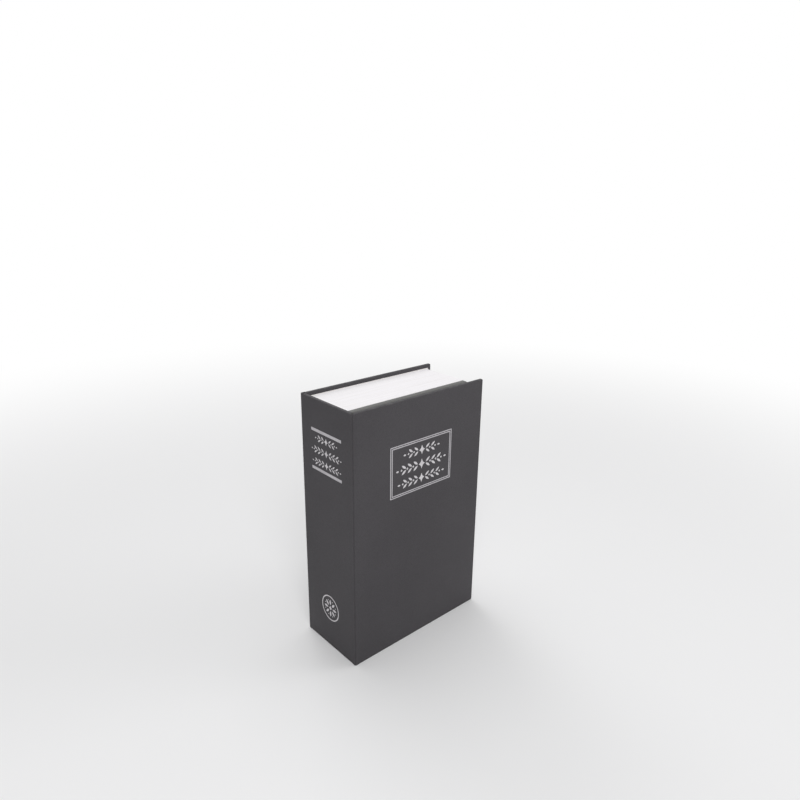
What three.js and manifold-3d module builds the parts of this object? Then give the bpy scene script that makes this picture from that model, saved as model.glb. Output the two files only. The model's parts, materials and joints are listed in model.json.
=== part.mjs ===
// Book diversion safe: a steel cash box with page-like edges, glued inside a hard book case.
// Millimetres, +Z up. The book stands on its tail edge: spine at -X, front cover at -Y.
// The origin is the centre of the book's footprint. Rest: book closed, lid closed, lock turned open.

import * as THREE from "three";
import { mergeVertices } from "three/addons/utils/BufferGeometryUtils.js";
import Module from "manifold-3d";

const wasm = await Module();
wasm.setup();

// Driving dimensions of the closed book
const bookHeight = 180;
const bookWidth = 115;
const bookThickness = 55;

// Wrapped boards of the case
const skinThickness = 0.3;
const boardThickness = 1.8;
const liningThickness = 0.3;
const turnInWidth = 2.6;
const glueClearance = 0.05;
const coverCornerRadius = 1;
const coverEdgeRound = 0.6;
const coverThickness = 2 * skinThickness + boardThickness + 2 * glueClearance;

// Cloth joints at the two long edges of the spine
const jointClothThickness = 0.5;
const jointAxisInset = 1.5;
const jointClothReach = 1.8;
const boardStart = jointAxisInset + jointClothReach;

// Lock face and knob
const plateWidth = 17.5;
const plateLength = 46;
const plateThickness = 1.6;
const plateCornerRadius = 1.3;
const plateEdgeRound = 0.4;
const borderWidth = 0.6;
const borderInset = 1.1;
const borderProud = 0.15;
const knobHeight = 5.6;
const knobBaseRadius = 6.8;
const knobBaseThickness = 1.3;
const knobPlateGap = 0.1;
const finLength = 16.2;
const finThickness = 4.6;
const finRound = 0.5;
const finPlateGap = 0.35;
const knobCoverGap = 0.4;

// The block of the safe inside the case
const squaresHeight = 3.2; // covers stand past the page edges at head and tail
const squaresFore = 4; // and at the fore-edge
const spineGap = 1.3;
const pageWall = 2.4;
const pageEdgeChamfer = 0.5;
const coverGap = plateThickness + knobHeight + knobCoverGap;

// Lid: a pan of bent sheet
const lidSheet = 1;
const lidFlangeDepth = 4;
const lidBendRadius = 1.4;
const lidCornerRadius = 1.8;
const lidPageGap = 0.3;
const notchWidth = 34;
const notchHeight = 4.5;
const notchCornerRadius = 4;
const notchFromFore = 5;

// Box: a tray with a rim turned inwards
const traySheet = 1;
const trayCornerRadius = 2;
const rimWidth = 6;
const rimCornerRadius = 2.5;
const rimGap = 0.3;
const trayPageGap = 0.1;

// Piano hinge of the lid
const barrelRadius = 1.6;
const pinRadius = 0.7;
const pinClearance = 0.15;
const leafThickness = 0.8;
const leafWidth = 9;
const hingeEndRoom = 15;
const knuckleCount = 5;
const knuckleGap = 0.3;
const leafGap = 0.1;
const sheetPastAxis = 0.8;
const flangeRelief = 1.2;

// Dials, their sleeves and their axle
const dialCount = 3;
const digitCount = 10;
const dialRadius = 6.5;
const dialThickness = 3.2;
const dialPitch = 5.3;
const dialProud = 0.9;
const dialNotchDepth = 0.5;
const dialSlotClearance = 0.3;
const chamberClearance = 0.6;
const axleRadius = 1.2;
const axleClearance = 0.15;
const sleeveRadius = 2.4;
const sleeveClearance = 0.2;
const sleeveOverhang = 0.3;
const keyWidth = 1;
const keyHeight = 0.6;
const gatePlateGap = 0.25;
const gateThickness = 0.8;
const gateNotchWidth = 2.6;
const gateNotchDepth = 0.9;
const gateWheelGap = 0.2;

// Blocking bar and detent spring behind the dials
const barWidth = 3;
const barThickness = 1;
const barClearance = 0.4;
const barFinWidth = 1.8;
const barFinThickness = 0.5;
const barFinGap = 0.25;
const barSideClearance = 0.3;
const springStrip = 0.3;
const springFingerWidth = 2.4;
const springFoot = 1;
const springSpan = 3.8;
const springSideGap = 0.5;

// Lock body and what closes it: the back plate covers the dials only
const bodyWidth = 16;
const bodyEndRoom = 3.5; // the face plate stands past the body by this much at each end
const bodyCornerRadius = 1;
const bodyLedge = 1.2;
const dialEndWall = 3.4;
const knobWebShare = 0.674; // of the length left over by the dial end wall, the chamber and the knob's bore
const cutoutClearance = 0.3;
const axleEndInset = 0.3;
const axleSeatShare = 0.31; // of the web between the chamber and the knob's bore
const backPlateWidth = 15;
const backPlateThickness = 1;
const backPlateInset = 0.4;
const backPlateCorner = 1.2;
const backPlateLand = 0.3; // past the head of the screw in the web
const screwRadius = 0.8;
const screwHeadRadius = 1.5;
const screwHeadHeight = 0.8;
const screwSlotWidth = 0.4;
const screwSlotDepth = 0.4;
const screwHoleClearance = 0.15;
const screwDepth = 5;
const webScrewFromSide = 3.4;
const fixingScrewRadius = 0.9;
const fixingHeadRadius = 1.55;
const fixingHeadHeight = 1.1;
const fixingDepth = 1.1;
const fixingFromEnd = 1.6;

// Spindle, cam tongue and nut
const stubRadius = 2.1;
const stubLength = 0.9;
const stubClearance = 0.1;
const shaftRadius = 3;
const shaftClearance = 0.3;
const collarRadius = 3.6;
const collarClearance = 0.2;
const collarPlateGap = 0.3;
const neckRadius = 2.4;
const neckClearance = 0.3;
const neckFlatDepth = 0.7;
const driveSide = 3.4;
const driveClearance = 0.1;
const tongueThickness = 1.6;
const tongueWidth = 11;
const tongueLength = 16.2;
const tongueScrewGap = 0.3;
const tongueBossRadius = 6;
const tongueCrank = 1.2;
const crankStart = 6.2;
const crankLength = 1.6;
const washerRadius = 5.2;
const washerThickness = 0.6;
const stackGap = 0.05;
const nutAcross = 8;
const nutThickness = 2.8;
const studRadius = 1.5;
const studClearance = 0.15;
const studPastNut = 0.6;

// Reset lever at the fore-edge side of the lock
const leverWidth = 3.4;
const leverThickness = 1.2;
const leverInside = 5.6;
const leverOutside = 3;
const leverTabHeight = 2.4;
const leverTravel = 2;
const leverClearance = 0.25;
const leverEndWall = 0.9;

// Strike: the angle that the tongue turns behind
const strikeLength = 16;
const strikeSheet = 1;
const strikeReach = 4.6;
const strikeDepth = 8;
const strikeGap = 0.3;

// Where the lock sits on the lid
const lockFromFore = 21.4;
const lockHeight = 76;

// Axes across, inwards and up, for profiles drawn as depth against height
const acrossAxis = new THREE.Vector3(1, 0, 0);
const depthAxis = new THREE.Vector3(0, 1, 0);
const heightAxis = new THREE.Vector3(0, 0, 1);

// Counts of facets, and one overrun for every cut
const arcSteps = 6;
const roundSteps = 32;
const barrelSteps = 20;
const smallSteps = 16;
const bevelSteps = 2;
const overrun = 2;

// Faces of the book and of the block
const spineFace = -bookWidth / 2;
const foreFace = bookWidth / 2;
const frontFace = -bookThickness / 2;
const backFace = bookThickness / 2;
const blockLeft = spineFace + coverThickness + spineGap;
const blockRight = foreFace - squaresFore;
const blockLow = squaresHeight;
const blockHigh = bookHeight - squaresHeight;
const blockBack = backFace - coverThickness - glueClearance;
const lidFace = frontFace + coverThickness + coverGap;
const rimFace = lidFace + lidSheet + rimGap;

// Lid hinge axis, and the box's outer faces, which leave room for the hinge leaf
const hingeX = blockLeft + leafGap + barrelRadius;
const hingeY = lidFace + lidSheet + leafGap + barrelRadius;
const hingeLength = bookHeight - 2 * hingeEndRoom;
const hingeLow = hingeEndRoom;
const trayLeft = blockLeft + 2 * leafGap + leafThickness;
const trayRight = blockRight - pageWall - trayPageGap;
const trayLow = blockLow + pageWall + trayPageGap;
const trayHigh = blockHigh - pageWall - trayPageGap;

// Depths in the lock, counted inwards from the lid's outer face
const dialDepth = dialRadius - dialProud - plateThickness;
const gateRadius = dialDepth - gatePlateGap;
const barDepth = dialDepth + dialRadius + barClearance;
const bodyDepth = barDepth + barThickness + barClearance;
const backPlateFace = bodyDepth + backPlateThickness;
const tongueDepth = backPlateFace + screwHeadHeight + tongueScrewGap;
const washerDepth = tongueDepth + tongueThickness + stackGap;
const nutDepth = washerDepth + washerThickness + stackGap;
const studEnd = nutDepth + nutThickness + studPastNut;
const lockX = blockRight - lockFromFore;

// Heights in the lock's own frame: gates and fins above their dial, then the body from its dial end up
const gateLow = dialThickness / 2 + gateWheelGap;
const gateHigh = gateLow + gateThickness;
const finLow = gateHigh + barFinGap;
const finHigh = finLow + barFinThickness;
const bodyLength = plateLength - 2 * bodyEndRoom;
const chamberLow = dialEndWall - bodyLength / 2;
const lowestDial = chamberLow + barClearance + sleeveOverhang + dialThickness / 2;
const dialHeights = [];
for (let i = 0; i < dialCount; i += 1) {
  dialHeights.push(lowestDial + i * dialPitch);
}
const chamberHigh = dialHeights[dialCount - 1] + finHigh + barClearance;
const boreRadius = collarRadius + collarClearance;
const knobWeb = (bodyLength / 2 - chamberHigh - 2 * boreRadius) * knobWebShare;
const knobOffset = chamberHigh + knobWeb + boreRadius;
const axleSeat = knobWeb * axleSeatShare;

// Finishes, by the place where they are used
const finishes = {
  leatherette: { color: 0x454346, roughness: 0.72, metalness: 0 },
  board: { color: 0x8a8378, roughness: 0.95, metalness: 0 },
  greyPaper: { color: 0xaba29e, roughness: 0.9, metalness: 0 },
  whitePaper: { color: 0xe9e6e4, roughness: 0.9, metalness: 0 },
  pageWhite: { color: 0xf2f0ef, roughness: 0.85, metalness: 0 },
  paintedSteel: { color: 0x4b4b49, roughness: 0.5, metalness: 0.3 },
  lockBlack: { color: 0x2b2a2c, roughness: 0.4, metalness: 0.2 },
  paleGold: { color: 0xb8b9a0, roughness: 0.35, metalness: 0.9 },
  castZinc: { color: 0x8f9193, roughness: 0.45, metalness: 0.8 },
  brightSteel: { color: 0xc4c6c8, roughness: 0.28, metalness: 1 },
  darkSteel: { color: 0x3a3a3c, roughness: 0.4, metalness: 0.9 },
  dialBlack: { color: 0x1e1e20, roughness: 0.35, metalness: 0 },
};

function solidOf(geometry) {
  const bare = geometry.index ? geometry.toNonIndexed() : geometry.clone();
  bare.deleteAttribute("normal");
  bare.deleteAttribute("uv");
  const merged = mergeVertices(bare);
  return new wasm.Manifold(
    new wasm.Mesh({
      numProp: 3,
      vertProperties: merged.attributes.position.array,
      triVerts: new Uint32Array(merged.index.array),
    }),
  );
}

function geometryOf(solid) {
  const mesh = solid.getMesh();
  const geometry = new THREE.BufferGeometry();
  geometry.setAttribute("position", new THREE.BufferAttribute(mesh.vertProperties, 3));
  geometry.setIndex(new THREE.BufferAttribute(mesh.triVerts, 1));
  const flat = geometry.toNonIndexed();
  flat.computeVertexNormals();
  return flat;
}

function cut(base, ...tools) {
  return geometryOf(tools.reduce((left, tool) => left.subtract(solidOf(tool)), solidOf(base)));
}

function join(base, ...others) {
  return geometryOf(others.reduce((whole, other) => whole.add(solidOf(other)), solidOf(base)));
}

function meet(base, other) {
  return geometryOf(solidOf(base).intersect(solidOf(other)));
}

function block(low, high) {
  const size = high.map((value, axis) => value - low[axis]);
  const centre = high.map((value, axis) => (value + low[axis]) / 2);
  return new THREE.BoxGeometry(...size).translate(...centre);
}

// A rectangle with its own radius at each corner: low left, low right, high right, high left.
function roundedOutline(left, right, low, high, radii) {
  const corners = [
    { x: left, y: low, dx: 1, dy: 1, start: Math.PI },
    { x: right, y: low, dx: -1, dy: 1, start: -Math.PI / 2 },
    { x: right, y: high, dx: -1, dy: -1, start: 0 },
    { x: left, y: high, dx: 1, dy: -1, start: Math.PI / 2 },
  ];
  const points = [];
  corners.forEach((corner, index) => {
    const radius = radii[index];
    const steps = radius > 0 ? arcSteps : 0;
    for (let step = 0; step <= steps; step += 1) {
      const angle = corner.start + (steps ? (step / steps) * (Math.PI / 2) : 0);
      points.push(
        new THREE.Vector2(
          corner.x + corner.dx * radius + radius * Math.cos(angle),
          corner.y + corner.dy * radius + radius * Math.sin(angle),
        ),
      );
    }
  });
  return new THREE.Shape(points);
}

// An outline in the XZ plane, thickened along Y from near to far.
function alongDepth(outline, near, far, round = 0) {
  const made = new THREE.ExtrudeGeometry(outline, {
    depth: far - near - 2 * round,
    bevelEnabled: round > 0,
    bevelThickness: round,
    bevelSize: round,
    bevelOffset: -round,
    bevelSegments: bevelSteps,
    curveSegments: arcSteps,
  });
  return made.rotateX(Math.PI / 2).translate(0, far - round, 0);
}

// An outline in the XY plane, raised along Z from low to high.
function alongHeight(outline, low, high) {
  const options = { depth: high - low, bevelEnabled: false, curveSegments: arcSteps };
  return new THREE.ExtrudeGeometry(outline, options).translate(0, 0, low);
}

// A round bar along Y at a place in the XZ plane.
function depthBar(radius, near, far, x, z, steps = roundSteps) {
  return new THREE.CylinderGeometry(radius, radius, far - near, steps).translate(x, (near + far) / 2, z);
}

// A round bar along Z at a place in the XY plane.
function heightBar(radius, low, high, x, y, steps = roundSteps) {
  return new THREE.CylinderGeometry(radius, radius, high - low, steps)
    .rotateX(Math.PI / 2)
    .translate(x, y, (low + high) / 2);
}

function named(name, geometry, finish) {
  const mesh = new THREE.Mesh(geometry, new THREE.MeshStandardMaterial(finishes[finish]));
  mesh.name = name;
  return mesh;
}

function groupAt(x, y, z, ...meshes) {
  const group = new THREE.Group();
  group.position.set(x, y, z);
  group.add(...meshes);
  return group;
}

// One wrapped board of the case, in its own frame: X away from the cloth joint, Y from the outer face
// inwards, Z up. The wrap turns in over the head, the tail and, where the panel ends free, the fore-edge.
function wrappedPanel(name, width, endsFree, liningFinish) {
  const edge = (inset, radius) => {
    const end = endsFree ? width - inset : width;
    const corner = endsFree ? radius : 0;
    return { low: inset, high: bookHeight - inset, end, corner };
  };
  const outline = (inset, radius, start, reach) => {
    const side = edge(inset, radius);
    const radii = [0, side.corner, side.corner, 0];
    return roundedOutline(start, side.end + reach, side.low, side.high, radii);
  };
  const past = endsFree ? 0 : overrun;
  const whole = alongDepth(outline(0, coverCornerRadius, -overrun, past), 0, coverThickness, coverEdgeRound);
  const outer = cut(
    whole,
    block([-2 * overrun, -overrun, -overrun], [0, coverThickness + overrun, bookHeight + overrun]),
    block([width, -overrun, -overrun], [width + 2 * overrun, coverThickness + overrun, bookHeight + overrun]),
  );
  const core = outline(skinThickness, coverCornerRadius - skinThickness, -overrun, past);
  const coreFar = coverThickness - skinThickness;
  const window = outline(turnInWidth, coverCornerRadius, -overrun, past);
  const wrap = cut(
    outer,
    alongDepth(core, skinThickness, coreFar),
    alongDepth(window, coreFar - overrun / 2, coverThickness + overrun),
  );
  const boardInset = skinThickness + glueClearance;
  const boardOutline = outline(boardInset, coverCornerRadius - boardInset, 0, 0);
  const board = alongDepth(boardOutline, skinThickness + glueClearance, coreFar - glueClearance);
  const liningInset = turnInWidth + glueClearance;
  const liningOutline = outline(liningInset, coverCornerRadius, 0, 0);
  const lining = alongDepth(liningOutline, coreFar, coreFar + liningThickness);
  return [
    named(name + "_wrap", wrap, "leatherette"),
    named(name + "_board", board, "board"),
    named(name + "_lining", lining, liningFinish),
  ];
}

// The strip of covering that bends round a spine edge: straight, a quarter turn, straight.
function clothJoint(name) {
  const centre = jointAxisInset;
  const inner = jointAxisInset - jointClothThickness;
  const reach = boardStart - glueClearance;
  const outline = new THREE.Shape();
  outline.moveTo(reach, 0);
  outline.lineTo(reach, jointClothThickness);
  outline.lineTo(centre, jointClothThickness);
  outline.absarc(centre, centre, inner, -Math.PI / 2, -Math.PI, true);
  outline.lineTo(jointClothThickness, reach);
  outline.lineTo(0, reach);
  outline.lineTo(0, centre);
  outline.absarc(centre, centre, jointAxisInset, Math.PI, Math.PI * 1.5, false);
  return named(name, alongHeight(outline, 0, bookHeight), "leatherette");
}

function makeCase() {
  const coverWidth = bookWidth - boardStart;
  const spineWidth = bookThickness - 2 * boardStart;
  const front = groupAt(
    spineFace + boardStart,
    frontFace,
    0,
    ...wrappedPanel("front_cover", coverWidth, true, "greyPaper"),
  );
  const back = groupAt(
    spineFace + boardStart,
    backFace,
    bookHeight,
    ...wrappedPanel("back_cover", coverWidth, true, "whitePaper"),
  );
  back.rotation.x = Math.PI;
  const spine = groupAt(
    spineFace,
    backFace - boardStart,
    0,
    ...wrappedPanel("spine", spineWidth, false, "greyPaper"),
  );
  spine.rotation.z = -Math.PI / 2;
  const frontJoint = groupAt(spineFace, frontFace, 0, clothJoint("front_joint_cloth"));
  const backJoint = groupAt(spineFace, backFace, 0, clothJoint("back_joint_cloth"));
  backJoint.rotation.z = -Math.PI / 2;
  return [front, back, spine, frontJoint, backJoint];
}

// Head, fore-edge and tail of the book block: one U-shaped band round three sides of the box.
function makePageFrame() {
  const near = lidFace + lidFlangeDepth + lidPageGap;
  const outline = new THREE.Shape();
  outline.moveTo(blockLeft, blockLow);
  outline.lineTo(blockRight - pageEdgeChamfer, blockLow);
  outline.lineTo(blockRight, blockLow + pageEdgeChamfer);
  outline.lineTo(blockRight, blockHigh - pageEdgeChamfer);
  outline.lineTo(blockRight - pageEdgeChamfer, blockHigh);
  outline.lineTo(blockLeft, blockHigh);
  outline.lineTo(blockLeft, blockHigh - pageWall);
  outline.lineTo(blockRight - pageWall, blockHigh - pageWall);
  outline.lineTo(blockRight - pageWall, blockLow + pageWall);
  outline.lineTo(blockLeft, blockLow + pageWall);
  return named("page_frame", alongDepth(outline, near, blockBack), "pageWhite");
}

function makeTray() {
  const radii = (radius) => [radius, radius, radius, radius];
  const shell = roundedOutline(trayLeft, trayRight, trayLow, trayHigh, radii(trayCornerRadius));
  const hollow = roundedOutline(
    trayLeft + traySheet,
    trayRight - traySheet,
    trayLow + traySheet,
    trayHigh - traySheet,
    radii(trayCornerRadius - traySheet),
  );
  const mouth = roundedOutline(
    trayLeft + traySheet,
    trayRight - rimWidth,
    trayLow + rimWidth,
    trayHigh - rimWidth,
    [0, rimCornerRadius, rimCornerRadius, 0],
  );
  const barrelRoom = hingeY + barrelRadius + knuckleGap;
  const tray = cut(
    alongDepth(shell, rimFace, blockBack),
    alongDepth(hollow, rimFace + traySheet, blockBack - traySheet),
    alongDepth(mouth, rimFace - overrun, rimFace + overrun),
    block(
      [trayLeft - overrun, rimFace - overrun, hingeLow - knuckleGap],
      [hingeX + barrelRadius + knuckleGap, barrelRoom, hingeLow + hingeLength + knuckleGap],
    ),
  );
  return named("box_tray", tray, "paintedSteel");
}

// The strike is welded to the box's fore-edge wall, its lip just on the lid side of the turned tongue.
function makeStrike() {
  const wall = trayRight - traySheet;
  const lipFar = lidFace + tongueDepth + tongueCrank - strikeGap;
  const lipNear = lipFar - strikeSheet;
  const low = lockHeight + knobOffset - strikeLength / 2;
  const outline = new THREE.Shape();
  outline.moveTo(wall, lipNear);
  outline.lineTo(wall, lipNear + strikeDepth);
  outline.lineTo(wall - strikeSheet, lipNear + strikeDepth);
  outline.lineTo(wall - strikeSheet, lipFar);
  outline.lineTo(wall - strikeReach, lipFar);
  outline.lineTo(wall - strikeReach, lipNear);
  return named("strike_angle", alongHeight(outline, low, low + strikeLength), "brightSteel");
}

// One leaf of the lid's piano hinge, in a frame whose origin is the foot of the pin. The leaf runs along
// +Y, flush with the -X side of its knuckles; offset 0 gives it the first knuckle, 1 the second.
function hingeLeaf(name, offset) {
  const pitch = (hingeLength + knuckleGap) / knuckleCount;
  const side = -barrelRadius;
  const plateStart = barrelRadius + knuckleGap;
  const plate = block([side, plateStart, 0], [side + leafThickness, plateStart + leafWidth, hingeLength]);
  const pieces = [];
  for (let i = offset; i < knuckleCount; i += 2) {
    const low = i * pitch;
    const high = low + pitch - knuckleGap;
    pieces.push(heightBar(barrelRadius, low, high, 0, 0, barrelSteps));
    pieces.push(block([side, 0, low], [side + leafThickness, plateStart + overrun, high]));
  }
  const bore = heightBar(pinRadius + pinClearance, -overrun, hingeLength + overrun, 0, 0, smallSteps);
  return named(name, cut(join(plate, ...pieces), bore), "darkSteel");
}

function makeHinge() {
  const boxLeaf = groupAt(hingeX, hingeY, hingeLow, hingeLeaf("box_hinge_leaf", 0));
  const lidLeaf = groupAt(hingeX, hingeY, hingeLow + hingeLength, hingeLeaf("lid_hinge_leaf", 1));
  lidLeaf.quaternion.setFromAxisAngle(new THREE.Vector3(1, 1, 0).normalize(), Math.PI);
  const pin = heightBar(pinRadius, 0, hingeLength, 0, 0, smallSteps);
  const pinGroup = groupAt(hingeX, hingeY, hingeLow, named("hinge_pin", pin, "brightSteel"));
  return [boxLeaf, lidLeaf, pinGroup];
}

function makeLid() {
  const left = hingeX - sheetPastAxis;
  const corners = (radius) => [0, radius, radius, 0];
  const outline = roundedOutline(left - overrun, blockRight, blockLow, blockHigh, corners(lidCornerRadius));
  const far = lidFace + lidFlangeDepth;
  const hollowOutline = roundedOutline(
    left - 2 * overrun,
    blockRight - lidSheet,
    blockLow + lidSheet,
    blockHigh - lidSheet,
    corners(lidCornerRadius - lidSheet),
  );
  const notch = roundedOutline(
    blockRight - notchFromFore - notchWidth,
    blockRight - notchFromFore,
    blockLow - notchHeight,
    blockLow + notchHeight,
    [0, 0, notchCornerRadius, notchCornerRadius],
  );
  const holeSide = bodyWidth / 2 + cutoutClearance;
  const holeEnd = bodyLength / 2 + cutoutClearance;
  const fixingHeight = plateLength / 2 - fixingFromEnd;
  const fixingHole = fixingScrewRadius + screwHoleClearance;
  const tools = [
    block([left - 2 * overrun, lidFace - overrun, 0], [left, far + overrun, bookHeight]),
    block([left - overrun, far, 0], [foreFace, far + 2 * lidFlangeDepth, bookHeight]),
    alongDepth(hollowOutline, lidFace + lidSheet, far + 2 * overrun, lidBendRadius - lidSheet),
    block([left - overrun, lidFace + lidSheet, 0], [hingeX + flangeRelief, far + overrun, bookHeight]),
    alongDepth(notch, lidFace - overrun, far + overrun),
    block(
      [lockX - holeSide, lidFace - overrun, lockHeight - holeEnd],
      [lockX + holeSide, lidFace + lidSheet + overrun, lockHeight + holeEnd],
    ),
  ];
  for (const side of [-1, 1]) {
    const height = lockHeight + side * fixingHeight;
    tools.push(depthBar(fixingHole, lidFace - overrun, lidFace + 2 * overrun, lockX, height, smallSteps));
  }
  const pan = alongDepth(outline, lidFace, far + 2 * overrun, lidBendRadius);
  return named("lid_panel", cut(pan, ...tools), "paintedSteel");
}

// The pieces below are in the lock's own frame: X across, Y inwards from the lid's face, Z up.

function makePlate() {
  const corners = [plateCornerRadius, plateCornerRadius, plateCornerRadius, plateCornerRadius];
  const side = plateWidth / 2;
  const end = plateLength / 2;
  const outline = roundedOutline(-side, side, -end, end, corners);
  const whole = alongDepth(outline, -plateThickness, plateThickness, plateEdgeRound);
  const slotHalf = Math.sqrt(dialRadius ** 2 - dialDepth ** 2) + dialSlotClearance;
  const slotRise = dialThickness / 2 + dialSlotClearance;
  const tools = [block([-plateWidth, 0, -plateLength], [plateWidth, 2 * plateThickness, plateLength])];
  for (const height of dialHeights) {
    tools.push(
      block([-slotHalf, -plateThickness - overrun, height - slotRise], [slotHalf, overrun, height + slotRise]),
    );
  }
  tools.push(depthBar(shaftRadius + shaftClearance, -plateThickness - overrun, overrun, 0, knobOffset));
  for (const way of [-1, 1]) {
    const height = way * (end - fixingFromEnd);
    const hole = fixingScrewRadius + screwHoleClearance;
    tools.push(depthBar(hole, -fixingDepth - glueClearance, overrun, 0, height, smallSteps));
  }
  return named("lock_plate", cut(whole, ...tools), "lockBlack");
}

function makeBorder() {
  const frame = (inset) => {
    const radius = plateCornerRadius;
    const side = plateWidth / 2 - inset;
    const end = plateLength / 2 - inset;
    return roundedOutline(-side, side, -end, end, [radius, radius, radius, radius]);
  };
  const near = -plateThickness - borderProud;
  const line = cut(
    alongDepth(frame(borderInset), near, -plateThickness),
    alongDepth(frame(borderInset + borderWidth), near - overrun, -plateThickness + overrun),
  );
  return named("lock_border", line, "paleGold");
}

// Two screws hold the back plate: in the wall at the dial end and in the web beside the knob's bore.
const screwPlaces = [
  [0, chamberLow - dialEndWall / 2],
  [webScrewFromSide - bodyWidth / 2, chamberHigh + knobWeb / 2],
];

function makeBody() {
  const side = bodyWidth / 2;
  const end = bodyLength / 2;
  const corners = [bodyCornerRadius, bodyCornerRadius, bodyCornerRadius, bodyCornerRadius];
  const whole = alongDepth(roundedOutline(-side, side, -end, end, corners), 0, bodyDepth);
  const chamberSide = dialRadius + chamberClearance;
  const leverNear = bodyDepth - barClearance / 2 - leverThickness - leverClearance;
  const leverLow = leverEndWall - end;
  const tools = [
    block([-chamberSide, -overrun, chamberLow], [chamberSide, bodyDepth + overrun, chamberHigh]),
    depthBar(boreRadius, -overrun, bodyDepth - bodyLedge, 0, knobOffset),
    depthBar(neckRadius + neckClearance, bodyDepth - bodyLedge - overrun, bodyDepth + overrun, 0, knobOffset),
    block(
      [-barWidth / 2 - barSideClearance, barDepth - barClearance / 2, chamberHigh - overrun],
      [barWidth / 2 + barSideClearance, bodyDepth + overrun, knobOffset],
    ),
    heightBar(axleRadius + axleClearance, -end - overrun, chamberHigh + axleSeat + axleEndInset, 0, dialDepth),
    block(
      [side - leverInside - leverClearance, leverNear, leverLow],
      [side + overrun, bodyDepth + overrun, leverLow + leverWidth + leverTravel + 2 * leverClearance],
    ),
  ];
  for (const [x, z] of screwPlaces) {
    const pilot = screwRadius + screwHoleClearance;
    tools.push(depthBar(pilot, bodyDepth - screwDepth - screwHoleClearance, bodyDepth + overrun, x, z, smallSteps));
  }
  return named("lock_body", cut(whole, ...tools), "castZinc");
}

function makeAxle() {
  const low = -bodyLength / 2 + axleEndInset;
  const axle = heightBar(axleRadius, low, chamberHigh + axleSeat, 0, dialDepth);
  return named("dial_axle", axle, "brightSteel");
}

// A dial is a wheel with a finger notch between each two digits and a keyway for its sleeve.
function makeDial(index) {
  const height = dialHeights[index];
  const sector = (2 * Math.PI) / digitCount;
  const rimShares = [-0.3, -0.1, 0.1, 0.3];
  const notchShares = [0.42, 0.58];
  const points = [];
  for (let digit = 0; digit < digitCount; digit += 1) {
    for (const share of rimShares) {
      const angle = (digit + share) * sector;
      points.push(new THREE.Vector2(dialRadius * Math.cos(angle), dialRadius * Math.sin(angle)));
    }
    for (const share of notchShares) {
      const angle = (digit + share) * sector;
      const radius = dialRadius - dialNotchDepth;
      points.push(new THREE.Vector2(radius * Math.cos(angle), radius * Math.sin(angle)));
    }
  }
  const low = height - dialThickness / 2;
  const high = height + dialThickness / 2;
  const wheel = alongHeight(new THREE.Shape(points), low, high);
  const bore = heightBar(sleeveRadius + sleeveClearance, low - overrun, high + overrun, 0, 0);
  const keySide = keyWidth / 2 + sleeveClearance;
  const keyTop = sleeveRadius + keyHeight + sleeveClearance;
  const keyway = block([-keySide, 0, low - overrun], [keySide, keyTop, high + overrun]);
  const dial = cut(wheel, bore, keyway).translate(0, dialDepth, 0);
  return named("dial_" + (index + 1), dial, "dialBlack");
}

// A sleeve keys into its dial and carries a gate disc, whose notch faces the blocking bar.
function makeSleeve(index) {
  const height = dialHeights[index];
  const low = height - dialThickness / 2 - sleeveOverhang;
  const high = height + gateHigh;
  const tube = heightBar(sleeveRadius, low, high, 0, 0);
  const gate = heightBar(gateRadius, height + gateLow, high, 0, 0);
  const keyTop = sleeveRadius + keyHeight;
  const key = block([-keyWidth / 2, 0, low], [keyWidth / 2, keyTop, height + dialThickness / 2]);
  const bore = heightBar(axleRadius + axleClearance, low - overrun, high + overrun, 0, 0);
  const notch = block(
    [-gateNotchWidth / 2, gateRadius - gateNotchDepth, height + gateLow - gateWheelGap],
    [gateNotchWidth / 2, gateRadius + overrun, high + overrun],
  );
  const sleeve = cut(join(tube, gate, key), bore, notch).translate(0, dialDepth, 0);
  return named("code_sleeve_" + (index + 1), sleeve, "castZinc");
}

// The blocking bar lies under the dials; its fins stand between the gate discs.
function makeBar() {
  const nose = knobOffset - neckRadius - barClearance;
  const foot = chamberLow + barClearance;
  const pieces = [];
  for (const height of dialHeights) {
    const tip = dialDepth + gateRadius - gateNotchDepth + barClearance;
    pieces.push(
      block([-barFinWidth / 2, tip, height + finLow], [barFinWidth / 2, barDepth + barThickness, height + finHigh]),
    );
  }
  const bar = block([-barWidth / 2, barDepth, foot], [barWidth / 2, barDepth + barThickness, nose]);
  return named("blocking_bar", join(bar, ...pieces), "brightSteel");
}

// A strip spring beside the bar: one bowed finger under each dial, all on one foot.
function makeSpring() {
  const right = -barWidth / 2 - springSideGap;
  const left = right - springSpan;
  const footFar = bodyDepth - springStrip;
  const reach = Math.sqrt(dialRadius ** 2 - ((left + right) / 2) ** 2);
  const rise = dialDepth + reach + barClearance;
  const bow = new THREE.Shape();
  bow.moveTo(left - springFoot, footFar);
  bow.lineTo(left, footFar);
  bow.quadraticCurveTo((left + right) / 2, 2 * rise - footFar, right, footFar);
  bow.lineTo(right, footFar + springStrip);
  bow.quadraticCurveTo((left + right) / 2, 2 * rise - footFar + springStrip, left, footFar + springStrip);
  bow.lineTo(left - springFoot, footFar + springStrip);
  const fingers = dialHeights.map((height) =>
    alongHeight(bow, height - springFingerWidth / 2, height + springFingerWidth / 2),
  );
  const low = dialHeights[0] - springFingerWidth / 2;
  const high = dialHeights[dialCount - 1] + springFingerWidth / 2;
  const foot = block([left - springFoot, footFar, low], [left, footFar + springStrip, high]);
  return named("detent_spring", join(foot, ...fingers), "brightSteel");
}

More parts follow.
